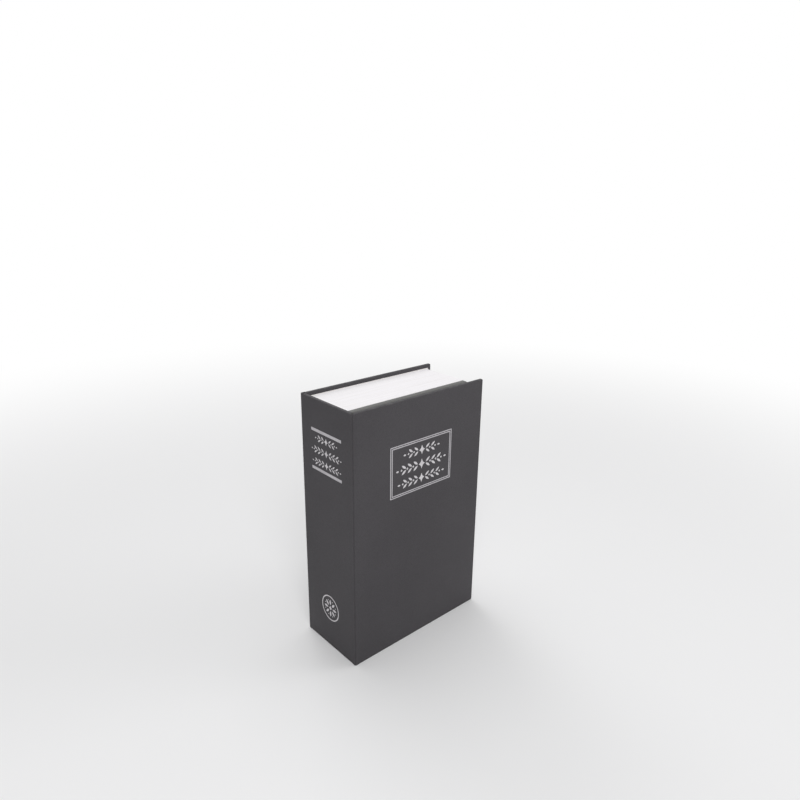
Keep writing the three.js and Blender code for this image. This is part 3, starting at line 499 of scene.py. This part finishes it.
def makeSteel(name, p, m):
    # drawn or plated sheet: fine directional lines, faint stains, brighter corners
    f = Finish(name)
    lines = f.noise(*m["lines"], vector=f.stretched(p["grain"]))
    scratch = f.between(f.noise(*m["scratch"], vector=f.stretched(m["scratchStretch"])), *m["scratchMask"])
    stain = f.between(f.noise(*m["stain"]), *m["stainMask"])
    corner = f.edge(*m["corner"])
    tone = f.mix(stain * m["stainShare"], p["colour"], p["stain"])
    tone = f.mix(lines * m["lineShare"], tone, p["stain"])
    tone = f.mix(corner * m["cornerShare"], tone, m["bare"])
    rough = p["rough"] + weighed(m["roughShares"], lines, stain, corner)
    height = weighed(m["heightShares"], lines, scratch)
    return f.set(Base_Color=tone, Roughness=rough, Metallic=p["metal"] - m["metalShare"] * stain,
                 Normal=f.bump(height, m["depth"], m["bumpShare"]))


zinc = {
    "colour": "939597", "dark": "838587", "bright": "b7b9bb", "pit": "4f5052",
    "rough": 0.42, "metal": 0.72, "depth": 0.05 * mm,
    "skin": (1500, 4, 0.7), "flow": (110, 4, 0.6, 1.2), "flowMask": (0.35, 0.7),
    "pits": 900, "pitMask": (0.0, 0.16), "pitShare": 0.3,
    "corner": (0.3 * mm, 0.04, 0.4), "cornerShare": 0.6,
    "roughShares": (0.2, -0.08), "metalShare": 0.08,     # skin, corners
    "heightShares": (0.5, 0.5), "bumpShare": 0.5,        # skin, pits
}


def makeCastZinc(p):
    f = Finish("castZinc")
    skin = f.noise(*p["skin"])
    flow = f.noise(*p["flow"])
    smooth = f.between(f.cells("F1", p["pits"]), *p["pitMask"])    # none in a pit
    corner = f.edge(*p["corner"])
    tone = f.mix(f.between(flow, *p["flowMask"]), p["dark"], p["colour"])
    tone = f.mix(corner * p["cornerShare"], tone, p["bright"])
    tone = f.mix((1 - smooth) * p["pitShare"], tone, p["pit"])
    rough = p["rough"] + weighed(p["roughShares"], skin, corner)
    height = weighed(p["heightShares"], skin, smooth)
    return f.set(Base_Color=tone, Roughness=rough, Metallic=p["metal"] - p["metalShare"] * flow,
                 Normal=f.bump(height, p["depth"], p["bumpShare"]))


blacks = {
    "lockBlack": {"colour": "38363a", "worn": "6a686c", "rough": 0.42, "coat": 0.1,
                  "peel": (1300, 3, 0.5), "depth": 0.02 * mm},
    "dialBlack": {"colour": "1e1e20", "worn": "4a4a4d", "rough": 0.3, "coat": 0.35,
                  "peel": (900, 3, 0.5), "depth": 0.01 * mm},
}
blackWear = {
    "dust": "8c8a88", "smear": "57555a", "coatRough": 0.25, "bumpShare": 0.5,
    "smears": (130, 4, 0.6, 0.4), "smearStretch": (1.0, 1.0, 2.5),
    "smearMask": (0.4, 0.75), "smearShare": 0.14,
    "corner": (0.35 * mm, 0.03, 0.4), "touch": (500, 3, 0.6), "touchMask": (0.3, 0.7), "wornShare": 0.55,
    "dusts": (2600, 1, 0.5), "dustMask": (0.7, 0.78), "dustShare": 0.22,
    "roughShares": (0.12, 0.14, -0.1), "coatShare": 0.1,    # peel, smears, corners
}


def makeBlack(name, p, w):
    # moulded or sprayed black, polished and paler at the edges that fingers touch
    f = Finish(name, Metallic=0.0, Coat_Roughness=w["coatRough"])
    peel = f.noise(*p["peel"])
    smear = f.noise(*w["smears"], vector=f.stretched(w["smearStretch"]))
    corner = f.edge(*w["corner"]) * f.between(f.noise(*w["touch"]), *w["touchMask"])
    dust = f.between(f.noise(*w["dusts"]), *w["dustMask"])
    tone = f.mix(corner * w["wornShare"], p["colour"], p["worn"])
    tone = f.mix(dust * w["dustShare"], tone, w["dust"])
    tone = f.mix(f.between(smear, *w["smearMask"]) * w["smearShare"], tone, w["smear"])
    rough = p["rough"] + weighed(w["roughShares"], peel, smear, corner)
    coat = p["coat"] - w["coatShare"] * p["coat"] * smear
    return f.set(Base_Color=tone, Roughness=rough, Coat_Weight=coat,
                 Normal=f.bump(peel, p["depth"], w["bumpShare"]))


foils = {
    "paleGold": {"colour": "b8b9a0", "rubbed": "8d8b78", "rough": 0.32, "metal": 0.85,
                 "grain": (900, 0.35), "lostMask": (0.72, 0.82)},
    "silverFoil": {"colour": "cdcacd", "rubbed": "a5a2a6", "rough": 0.42, "metal": 0.35,
                   "grain": (1500, 0.35), "lostMask": (0.7, 0.8)},
    "frameFoil": {"colour": "b4b1b5", "rubbed": "98959a", "rough": 0.45, "metal": 0.35,
                  "grain": (1500, 0.35), "lostMask": (0.66, 0.76)},
}
foilWear = {
    # the palest colour is a painted highlight on the grain's tops
    "crown": "cfcdd0", "below": "434144", "depth": 0.03 * mm, "bumpShare": 0.6,
    "patch": (140, 5, 0.65), "patchMask": (0.4, 0.75), "patchShare": 0.45,
    "grainMask": (0.2, 0.6), "grainShare": 0.25,
    "lost": (2400, 3, 0.6), "lostShare": 0.8, "roughShares": (0.2, 0.2),    # patches, what is lost
}


def makeFoil(name, p, w):
    # hot foil: it follows the grain below, with a painted highlight on the grain's tops, and has rubbed
    # off on the highest points
    f = Finish(name)
    grain = f.softCells(*p["grain"])
    patch = f.noise(*w["patch"])
    lost = f.between(f.noise(*w["lost"]), *p["lostMask"])
    tone = f.mix(f.between(patch, *w["patchMask"]) * w["patchShare"], p["colour"], p["rubbed"])
    # painted highlight: the grain's tops are made paler
    tone = f.mix(f.between(grain, *w["grainMask"]) * w["grainShare"], tone, w["crown"])
    tone = f.mix(lost * w["lostShare"], tone, w["below"])
    rough = p["rough"] + weighed(w["roughShares"], patch, lost)
    return f.set(Base_Color=tone, Roughness=rough, Metallic=p["metal"] * (1 - lost),
                 Normal=f.bump(grain, w["depth"], w["bumpShare"]))


ink = {
    "colour": "eceae6", "shade": "c9c6c1", "worn": "8f8d8a",
    "gloss": 0.4, "rough": 0.45, "depth": 0.01 * mm,
    "speckle": (4200, 3, 0.6), "speckleShare": 0.35,
    "wear": (1500, 3, 0.6), "wearMask": (0.62, 0.76), "wearShare": 0.4,
    "roughShare": 0.15, "bumpShare": 0.5,
}


def makeInk(p):
    f = Finish("digitPaint", Metallic=0.0, Specular_IOR_Level=p["gloss"])
    speckle = f.noise(*p["speckle"])
    worn = f.between(f.noise(*p["wear"]), *p["wearMask"])
    tone = f.mix(speckle * p["speckleShare"], p["colour"], p["shade"])
    tone = f.mix(worn * p["wearShare"], tone, p["worn"])
    return f.set(Base_Color=tone, Roughness=p["rough"] + p["roughShare"] * speckle,
                 Normal=f.bump(speckle, p["depth"], p["bumpShare"]))


finishes = {"leatherette": makeLeatherette(leather), "greyboard": makeGreyboard(board),
            "pageEdges": makePageEdges(pages), "paint": makePaint(paint),
            "castZinc": makeCastZinc(zinc), "digitPaint": makeInk(ink)}
for make, kinds, marks in ((makePaper, papers, paperGrain), (makeSteel, steels, steelMarks),
                           (makeBlack, blacks, blackWear), (makeFoil, foils, foilWear)):
    for name, p in kinds.items():
        finishes[name] = make(name, p, marks)
print("finishes made:", len(finishes))


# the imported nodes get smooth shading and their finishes

slotFinishes = {
    "leatherette": "leatherette", "greyboard": "greyboard", "grey_lining": "greyLining",
    "white_lining": "whiteLining", "page_edges": "pageEdges", "painted_steel": "paint",
    "hinge_steel": "hingeSteel", "bright_steel": "brightSteel", "dark_steel": "darkSteel",
    "cast_zinc": "castZinc", "lock_black": "lockBlack", "dial_black": "dialBlack", "pale_gold": "paleGold",
}
shells = {"mergeWithin": 0.002 * mm, "smoothBelow": 32}


def makeSmoothing(s):
    # joins the facets and smooths every edge flatter than the angle
    tree = bpy.data.node_groups.new("smoothShell", "GeometryNodeTree")
    for way in ("INPUT", "OUTPUT"):
        tree.interface.new_socket("Geometry", in_out=way, socket_type="NodeSocketGeometry")
    g = NodeTree(tree)
    shell = g.node("NodeGroupInput")
    shell = g.node("GeometryNodeRemoveAttribute", None, {"Geometry": shell, "Name": "custom_normal"})
    shell = g.node("GeometryNodeMergeByDistance", None, {"Geometry": shell, "Distance": s["mergeWithin"]})
    shell = g.node("GeometryNodeSetShadeSmooth", None, {"Geometry": shell})
    turn = g.node("GeometryNodeInputMeshEdgeAngle")
    steep = g.node("FunctionNodeCompare", None, {0: turn, 1: math.radians(s["smoothBelow"])})
    shell = g.node("GeometryNodeSetShadeSmooth", {"domain": "EDGE"},
                   {"Geometry": shell, "Selection": steep, "Shade Smooth": False})
    g.node("NodeGroupOutput", None, {0: shell})
    return tree


smoothing = makeSmoothing(shells)
for part in frame["record"]["subparts"]:
    node = nodes[part["node"]]
    for slot in node.material_slots:
        slot.material = finishes[slotFinishes[part["material_slot"]]]
    shell = node.modifiers.new("smoothShell", "NODES")
    shell.node_group = smoothing
print("packed nodes finished")


# mesh tools

def makePiece(name, points, faces, finish, smoothBelow=35):
    mesh = bpy.data.meshes.new(name)
    mesh.from_pydata([tuple(p) for p in points], [], faces)
    mesh.validate()
    shape = bmesh.new()
    shape.from_mesh(mesh)
    bmesh.ops.recalc_face_normals(shape, faces=shape.faces)
    for face in shape.faces:
        face.smooth = True
    for edge in shape.edges:
        edge.smooth = len(edge.link_faces) == 2 and edge.calc_face_angle(0) < math.radians(smoothBelow)
    shape.to_mesh(mesh)
    shape.free()
    mesh.materials.append(finishes[finish])
    piece = bpy.data.objects.new(name, mesh)
    bpy.context.scene.collection.objects.link(piece)
    return piece


def loopPrism(outline, near, far):
    # points and faces of a flat outline given in the plane, thickened from near to far
    count = len(outline)
    points = [(x, near, z) for x, z in outline] + [(x, far, z) for x, z in outline]
    faces = [list(range(count)), list(range(2 * count - 1, count - 1, -1))]
    faces += [[i, (i + 1) % count, (i + 1) % count + count, i + count] for i in range(count)]
    return points, faces


def ringPrism(outer, inner, near, far):
    # the same between two outlines with as many points each
    count = len(outer)
    points = [(x, y, z) for y in (near, far) for ring in (outer, inner) for x, z in ring]
    faces = []
    for i in range(count):
        j = (i + 1) % count
        a, b, c, d = i, j, j + count, i + count
        faces += [[a, b, c, d], [a + 2 * count, d + 2 * count, c + 2 * count, b + 2 * count],
                  [a, a + 2 * count, b + 2 * count, b], [d, c, c + 2 * count, d + 2 * count]]
    return points, faces


def gather(parts):
    points, faces = [], []
    for somePoints, someFaces in parts:
        start = len(points)
        points += somePoints
        faces += [[start + i for i in face] for face in someFaces]
    return points, faces


def roundedBox(halfWide, halfHigh, radius, centre=(0, 0), steps=5):
    ring = []
    for cx, cz, start in ((1, -1, -90), (1, 1, 0), (-1, 1, 90), (-1, -1, 180)):
        for i in range(steps + 1):
            angle = math.radians(start + 90 * i / steps)
            ring.append((centre[0] + cx * (halfWide - radius) + radius * math.cos(angle),
                         centre[1] + cz * (halfHigh - radius) + radius * math.sin(angle)))
    return ring


def circle(radius, height, steps=48):
    turns = [2 * math.pi * i / steps for i in range(steps)]
    return [(radius * math.cos(turn), height + radius * math.sin(turn)) for turn in turns]


# the covering bends round the spine's two long edges, with turned-in ends and a paper hinge inside

joint = {
    "reach": 3.305 * mm, "bend": 0.9 * mm, "thick": 0.5 * mm, "axisInset": 1.5 * mm, "boardDeep": 2.5 * mm,
    "creaseDeep": 0.42 * mm, "creaseWide": 0.3 * mm, "legSteps": 12, "arcSteps": 16, "rowHigh": 1.5 * mm,
    "endRound": 0.35 * mm, "blendHalf": 0.56 * mm, "smoothBelow": 50,
    "turnInHigh": 2.6 * mm, "turnInThick": 0.3 * mm, "turnInFrom": 1.9 * mm, "turnInRound": 0.175 * mm,
    "paperLeg": 1.9 * mm, "paperThick": 0.12 * mm, "paperSlackShare": 0.34, "paperSteps": 14,
    "paperLift": 0.02 * mm, "paperGap": 0.05 * mm, "paperRound": 0.048 * mm, "paperRowHigh": 3.0 * mm,
    "paperBlend": 0.88 * mm,
}


def foldPath(j, depth, swell=None):
    # in plan, from one board to the other at a depth below the outer faces
    bend, reach = j["bend"], j["reach"]
    leg = []
    for i in range(j["legSteps"]):
        along = reach + (bend - reach) * i / j["legSteps"]
        leg.append((depth + (swell(j, along) if swell else 0.0), along))
    path = list(leg)
    radius = bend - depth - (swell(j, bend) if swell else 0.0)
    for i in range(j["arcSteps"] + 1):
        angle = math.radians(180 + 90 * i / j["arcSteps"])
        away = (angle - math.radians(225)) * bend / j["creaseWide"]
        push = j["creaseDeep"] * math.exp(-away * away) * math.sqrt(0.5)
        path.append((bend + radius * math.cos(angle) + push, bend + radius * math.sin(angle) + push))
    return path + [(y, x) for x, y in reversed(leg)]


def turnInSwell(j, along):
    # the turned-in end climbs from the covering to the board's inner face
    climb = min(max((along - j["turnInFrom"]) / (j["reach"] - j["turnInFrom"]), 0.0), 1.0)
    full = j["boardDeep"] - j["thick"]
    return j["turnInThick"] + (full - j["turnInThick"]) * climb * climb * (3 - 2 * climb)


def paperPath(j, lift):
    # the lining paper that bridges the inside, slack in the corner
    path = []
    leg = j["paperLeg"]
    for i in range(j["paperSteps"] + 1):
        t = i / j["paperSteps"]
        slack = j["paperSlackShare"] * leg * math.sin(math.pi * t) ** 2
        inside = j["boardDeep"] + j["paperLift"] + lift + slack
        path.append((inside + leg * max(2 * t - 1, 0.0), inside + leg * max(1 - 2 * t, 0.0)))
    return path


def sweepUp(outerPath, innerPath, low, high, endRound, rowHigh, roundSteps=4, leastRows=8):
    # a closed strip between two paths in plan, its ends rounded over
    count = len(outerPath)
    rows = max(leastRows, round((high - low) / rowHigh))
    levels = {low, high} | {low + (high - low) * i / rows for i in range(1, rows)}
    for i in range(1, roundSteps):
        levels |= {low + endRound * i / roundSteps, high - endRound * i / roundSteps}
    levels = sorted(levels)
    points, faces = [], []
    for level in levels:
        lift = min(level - low, high - level)
        pull = 0.0 if lift >= endRound else 0.5 * (1 - math.sqrt(1 - (1 - lift / endRound) ** 2))
        for path, other in ((outerPath, innerPath), (innerPath, outerPath)):
            points += [(x + (u - x) * pull, y + (v - y) * pull, level)
                       for (x, y), (u, v) in zip(path, other)]
    ring = list(range(count)) + list(range(2 * count - 1, count - 1, -1))
    for row in range(len(levels) - 1):
        below, above = row * 2 * count, (row + 1) * 2 * count
        for a, b in zip(ring, ring[1:] + ring[:1]):
            faces.append([below + a, below + b, above + b, above + a])
    top = (len(levels) - 1) * 2 * count
    for i in range(count - 1):
        faces.append([i, i + 1, count + i + 1, count + i])
        faces.append([top + i, top + count + i, top + count + i + 1, top + i + 1])
    return points, faces


def makeJoint(j, name, side, paperFinish):
    # side -1 is the front joint and +1 the back one
    height = bookHigh.z

    def lay(pieceName, parts, finish):
        points, faces = gather(parts)
        placed = [(bookLow.x + x, side * (bookHigh.y - y), z) for x, y, z in points]
        piece = makePiece(pieceName, placed, faces, finish, j["smoothBelow"])
        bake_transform(piece)
        return piece

    outer, inner = foldPath(j, 0.0), foldPath(j, j["thick"])
    strip = sweepUp(outer, inner, 0.0, height, j["endRound"], j["rowHigh"])
    covering = lay(name + "_joint_covering", [strip], "leatherette")
    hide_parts(name + "_joint_cloth")
    inside = foldPath(j, j["thick"], turnInSwell)
    ends = [sweepUp(inner, inside, low, low + j["turnInHigh"], j["turnInRound"], j["rowHigh"])
            for low in (0.0, height - j["turnInHigh"])]
    lay(name + "_joint_turn_ins", ends, "leatherette")
    low = j["turnInHigh"] + j["paperGap"]
    paper = sweepUp(paperPath(j, 0.0), paperPath(j, j["paperThick"]), low, height - low,
                    j["paperRound"], j["paperRowHigh"])
    lay(name + "_hinge_paper", [paper], paperFinish)


makeJoint(joint, "front", -1, "greyLining")
makeJoint(joint, "back", 1, "whiteLining")
print("joints covered")


# foil on the front cover and the spine: a double frame, two rules, rows of leaves and a rosette

foil = {
    "proud": 0.015 * mm, "sunk": 0.05 * mm,
    "frameHalfWide": 27.6 * mm, "frameHalfHigh": 18.2 * mm, "frameMiddle": (0.0, 132.3 * mm),
    "lineWide": 0.68 * mm, "lineGap": 0.6 * mm, "cornerRadius": 0.5 * mm, "innerCornerShare": 0.4,
    "barHalfWide": 16.0 * mm, "barHalfHigh": 1.0 * mm, "barHeights": (159.0 * mm, 132.2 * mm),
    "barRound": 0.2 * mm,
}
leafRows = {
    # each row's height above the middle, half its length, and the size of its leaves
    "front": [(10.1, 16.4, 1.12), (0.0, 22.6, 1.2), (-10.1, 21.2, 1.12)], "frontUnit": 1.0 * mm,
    "spine": [(11.4, 16.5, 1.16), (0.0, 22.2, 1.22), (-11.4, 21.4, 1.16)], "spineUnit": 0.72 * mm,
    # along a row and across it, all as shares of the leaves' size
    "starWideShare": 2.3, "starHighShare": 3.0, "starPinchShare": 0.28,
    "startShare": 4.0, "pitchShare": 4.3, "tailShare": 4.6, "ruleThickShare": 1.1,
    "leafAsideShare": 0.6, "leafLiftShare": 1.55, "leafLongShare": 4.0, "leafWideShare": 1.35,
    "leafLean": 38,
    "dotAsideShare": 2.4, "dotShare": 0.75, "dotPinchShare": 0.1,
}
rosette = {
    "height": 31.0 * mm, "radius": 9.6 * mm, "line": 0.8 * mm, "leaves": 8,
    # as shares of the radius
    "starShare": 0.19, "starPinchShare": 0.25, "leafAtShare": 0.48, "leafLongShare": 0.46,
    "leafWideShare": 0.19, "dotAtShare": 0.64, "dotShare": 0.055, "dotPinchShare": 0.1,
}


def lozenge(x, z, halfWide, halfHigh, pinch, steps=5):
    # a diamond whose sides curve inwards by the pinch share
    tips = [(halfWide, 0), (0, halfHigh), (-halfWide, 0), (0, -halfHigh)]
    ring = []
    for i, (ax, az) in enumerate(tips):
        bx, bz = tips[(i + 1) % 4]
        for k in range(steps):
            t = k / steps
            px, pz = ax + (bx - ax) * t, az + (bz - az) * t
            pull = 1 - pinch * math.sin(math.pi * t)
            ring.append((x + px * pull, z + pz * pull))
    return ring


def dash(x0, z0, x1, z1, thick, steps=8, tipShare=0.16, roundness=0.8):
    # a rule that swells in its middle and tapers to both ends
    length = math.hypot(x1 - x0, z1 - z0)
    ux, uz = (x1 - x0) / length, (z1 - z0) / length
    top, low = [], []
    for i in range(steps + 1):
        t = i / steps
        half = thick / 2 * (tipShare + (1 - tipShare) * math.sin(math.pi * t) ** roundness)
        px, pz = x0 + (x1 - x0) * t, z0 + (z1 - z0) * t
        top.append((px - uz * half, pz + ux * half))
        low.append((px + uz * half, pz - ux * half))
    return low + top[::-1]


def petal(x, z, length, wide, angle, steps=7, roundness=0.9):
    # a pointed leaf whose middle is at x, z
    ca, sa = math.cos(math.radians(angle)), math.sin(math.radians(angle))
    ring = []
    for side in (1, -1):
        for i in range(steps):
            t = i / steps
            along = (t - 0.5) * length * side
            across = wide / 2 * math.sin(math.pi * t) ** roundness * side
            ring.append((x + along * ca - across * sa, z + along * sa + across * ca))
    return ring[::-1]


def makeLeafRow(p, z, wide, unit):
    # a star in the middle, leaves in pairs with dots between them, and a tapering rule at each end
    shapes = [lozenge(0, z, p["starWideShare"] * unit, p["starHighShare"] * unit, p["starPinchShare"])]
    dot = p["dotShare"] * unit
    x = p["startShare"] * unit
    while x < wide - p["tailShare"] * unit:
        for side in (-1, 1):
            leafAt, dotAt = x + p["leafAsideShare"] * unit, x + p["dotAsideShare"] * unit
            for lift in (-1, 1):
                shapes.append(petal(side * leafAt, z + lift * p["leafLiftShare"] * unit,
                                    p["leafLongShare"] * unit, p["leafWideShare"] * unit,
                                    side * lift * p["leafLean"]))
            shapes.append(lozenge(side * dotAt, z, dot, dot, p["dotPinchShare"]))
        x += p["pitchShare"] * unit
    for side in (-1, 1):
        shapes.append(dash(side * x, z, side * wide, z, p["ruleThickShare"] * unit))
    return shapes


def foilSheets(f, shapes, middle):
    parts = []
    for ring in shapes:
        moved = [(x + middle[0], z + middle[1]) for x, z in ring]
        parts.append(loopPrism(moved, 0.0, f["proud"] + f["sunk"]))
    return parts


def leafSheets(f, p, cover, middle):
    unit = p[cover + "Unit"]
    shapes = [shape for z, wide, size in p[cover]
              for shape in makeLeafRow(p, z * unit, wide * unit, size * unit)]
    return foilSheets(f, shapes, middle)


def rosetteSheets(f, r):
    # pointed leaves round a star, with dots between their tips, inside a ring
    radius, height = r["radius"], r["height"]
    star, dot = r["starShare"] * radius, r["dotShare"] * radius
    shapes = [lozenge(0, 0, star, star, r["starPinchShare"])]
    for i in range(r["leaves"]):
        angle = 360 * i / r["leaves"]
        turn, between = math.radians(angle), math.radians(angle + 180 / r["leaves"])
        leafAt, dotAt = r["leafAtShare"] * radius, r["dotAtShare"] * radius
        shapes.append(petal(leafAt * math.cos(turn), leafAt * math.sin(turn),
                            r["leafLongShare"] * radius, r["leafWideShare"] * radius, angle))
        shapes.append(lozenge(dotAt * math.cos(between), dotAt * math.sin(between),
                              dot, dot, r["dotPinchShare"]))
    outer, inner = circle(radius, height), circle(radius - r["line"], height)
    ring = ringPrism(outer, inner, 0.0, f["proud"] + f["sunk"])
    return foilSheets(f, shapes, (0.0, height)) + [ring]


def doubleFrame(f):
    parts = []
    for inset in (0.0, f["lineWide"] + f["lineGap"]):
        halfWide, halfHigh = f["frameHalfWide"] - inset, f["frameHalfHigh"] - inset
        outer = roundedBox(halfWide, halfHigh, f["cornerRadius"], f["frameMiddle"])
        inner = roundedBox(halfWide - f["lineWide"], halfHigh - f["lineWide"],
                           f["cornerRadius"] * f["innerCornerShare"], f["frameMiddle"])
        parts.append(ringPrism(outer, inner, 0.0, f["proud"] + f["sunk"]))
    return parts


def onFront(points):
    # the foil's far side stands proud of the front cover
    return [(x, bookLow.y + foil["sunk"] - y, z) for x, y, z in points]


def onSpine(points):
    return [(bookLow.x + foil["sunk"] - y, -x, z) for x, y, z in points]


def addFoil(name, parts, place, body, finish):
    points, faces = gather(parts)
    piece = makePiece(name, place(points), faces, finish)
    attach(piece, body)


bars = [roundedBox(foil["barHalfWide"], foil["barHalfHigh"], foil["barRound"], (0, height))
        for height in foil["barHeights"]]
spineMiddle = (0.0, sum(foil["barHeights"]) / 2)
frontLeaves = leafSheets(foil, leafRows, "front", foil["frameMiddle"])
spineLeaves = leafSheets(foil, leafRows, "spine", spineMiddle)
addFoil("front_foil_frame", doubleFrame(foil), onFront, "front_cover", "frameFoil")
addFoil("front_foil_ornament", frontLeaves, onFront, "front_cover", "silverFoil")
addFoil("spine_foil_bars", foilSheets(foil, bars, (0.0, 0.0)), onSpine, "spine", "frameFoil")
addFoil("spine_foil_ornament", spineLeaves, onSpine, "spine", "silverFoil")
addFoil("spine_foil_emblem", rosetteSheets(foil, rosette), onSpine, "spine", "silverFoil")
print("foil laid")


# printed digits on the dials

dials = {
    "axis": (0.0321, -0.0134), "radius": 6.5 * mm, "heights": (0.0622, 0.0675, 0.0728), "digits": 10,
    "digitSize": 2.7 * mm, "narrowShare": 0.82, "proud": 0.03 * mm, "sunk": 0.06 * mm,
    # as shares of the letter's size: how much bolder, what merges, and the slices that let it bend
    "boldShare": 0.028, "mergeShare": 0.0005, "sliceShare": 0.05, "slices": 16, "curveSteps": 4,
}


def digitOutline(text, d):
    # points and faces of one digit of size 1, its middle at the origin
    data = bpy.data.curves.new("digit", "FONT")
    data.body = text
    data.size = 1.0
    data.align_x = "CENTER"
    data.resolution_u = d["curveSteps"]
    data.extrude = 0.5
    data.offset = d["boldShare"]
    carrier = bpy.data.objects.new("digit", data)
    bpy.context.scene.collection.objects.link(carrier)
    bpy.context.view_layer.update()
    mesh = bpy.data.meshes.new_from_object(carrier)
    shape = bmesh.new()
    shape.from_mesh(mesh)
    bmesh.ops.remove_doubles(shape, verts=shape.verts, dist=d["mergeShare"])
    for cut in range(1, d["slices"]):
        bmesh.ops.bisect_plane(shape, geom=shape.verts[:] + shape.edges[:] + shape.faces[:],
                               plane_co=(0, cut * d["sliceShare"], 0), plane_no=(0, 1, 0))
    shape.verts.index_update()
    points = [v.co.copy() for v in shape.verts]
    faces = [[v.index for v in face.verts] for face in shape.faces]
    shape.free()
    bpy.data.objects.remove(carrier)
    bpy.data.curves.remove(data)
    bpy.data.meshes.remove(mesh)
    low = Vector([min(p[i] for p in points) for i in range(3)])
    high = Vector([max(p[i] for p in points) for i in range(3)])
    middle = (low + high) / 2
    return [p - middle for p in points], faces


digitShapes = [digitOutline(str(i), dials) for i in range(dials["digits"])]


def makeDigits(index, d):
    # a digit's top points back round the rim, and it reads up the lock,
    # so it stands upright when the lock lies flat
    parts = []
    for sector in range(d["digits"]):
        points, faces = digitShapes[d["digits"] - 1 - sector]
        centre = math.radians(360 / d["digits"] * sector)
        bent = []
        for p in points:
            across = p.x * d["digitSize"] * d["narrowShare"]
            angle = centre - p.y * d["digitSize"] / d["radius"]
            reach = d["radius"] + (d["proud"] if p.z > 0 else -d["sunk"])
            bent.append((d["axis"][0] + reach * math.cos(angle), d["axis"][1] + reach * math.sin(angle),
                         d["heights"][index] + across))
        parts.append((bent, faces))
    points, faces = gather(parts)
    piece = makePiece(f"dial_{index + 1}_digits", points, faces, "digitPaint")
    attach(piece, f"dial_wheel_{index + 1}")


for index in range(len(dials["heights"])):
    makeDigits(index, dials)
print("digits set")


# spot welds hold the hinge's leaf to the lid: each is a sunk middle inside a low raised ring

welds = {
    "count": 6, "radius": 1.5 * mm, "ringHigh": 0.08 * mm, "sunkTo": 0.02 * mm, "under": 0.05 * mm,
    "steps": 32, "leafThick": 0.8 * mm, "sideInset": 4.4 * mm, "endInset": 9 * mm, "smoothBelow": 60,
    # from the middle out: shares of the radius and of the ring's height
    "profileShares": [(0.0, 0.0), (0.35, 0.0), (0.55, 0.06), (0.68, 0.45),
                      (0.78, 0.9), (0.85, 1.0), (0.92, 0.75), (1.0, 0.0)],
}


def weldProfile(w):
    # from the middle out, and back below the leaf's face
    rise = w["ringHigh"] - w["sunkTo"]
    top = [(w["radius"] * out, w["sunkTo"] + rise * up) for out, up in w["profileShares"]]
    return top + [(w["radius"], -w["under"]), (0.0, -w["under"])]


def spunBody(profile, steps, centre):
    # a profile of radius and height spun about +Y at a centre
    cx, cy, cz = centre
    points = [(cx, cy + profile[0][1], cz), (cx, cy + profile[-1][1], cz)]
    faces = []
    rings = len(profile) - 2
    for radius, height in profile[1:-1]:
        for k in range(steps):
            angle = 2 * math.pi * k / steps
            points.append((cx + radius * math.cos(angle), cy + height, cz + radius * math.sin(angle)))
    for k in range(steps):
        after = (k + 1) % steps
        faces.append([0, 2 + k, 2 + after])
        for ring in range(rings - 1):
            a, b = 2 + ring * steps, 2 + (ring + 1) * steps
            faces.append([a + k, b + k, b + after, a + after])
        last = 2 + (rings - 1) * steps
        faces.append([1, last + after, last + k])
    return points, faces


def makeWelds(w):
    low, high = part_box("lid_hinge_leaf")
    pitch = (high.z - low.z - 2 * w["endInset"]) / (w["count"] - 1)
    side, face = high.x - w["sideInset"], low.y + w["leafThick"]
    parts = [spunBody(weldProfile(w), w["steps"], (side, face, low.z + w["endInset"] + pitch * i))
             for i in range(w["count"])]
    points, faces = gather(parts)
    piece = makePiece("hinge_spot_welds", points, faces, "hingeSteel", w["smoothBelow"])
    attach(piece, "lid")


makeWelds(welds)
print("spot welds set")
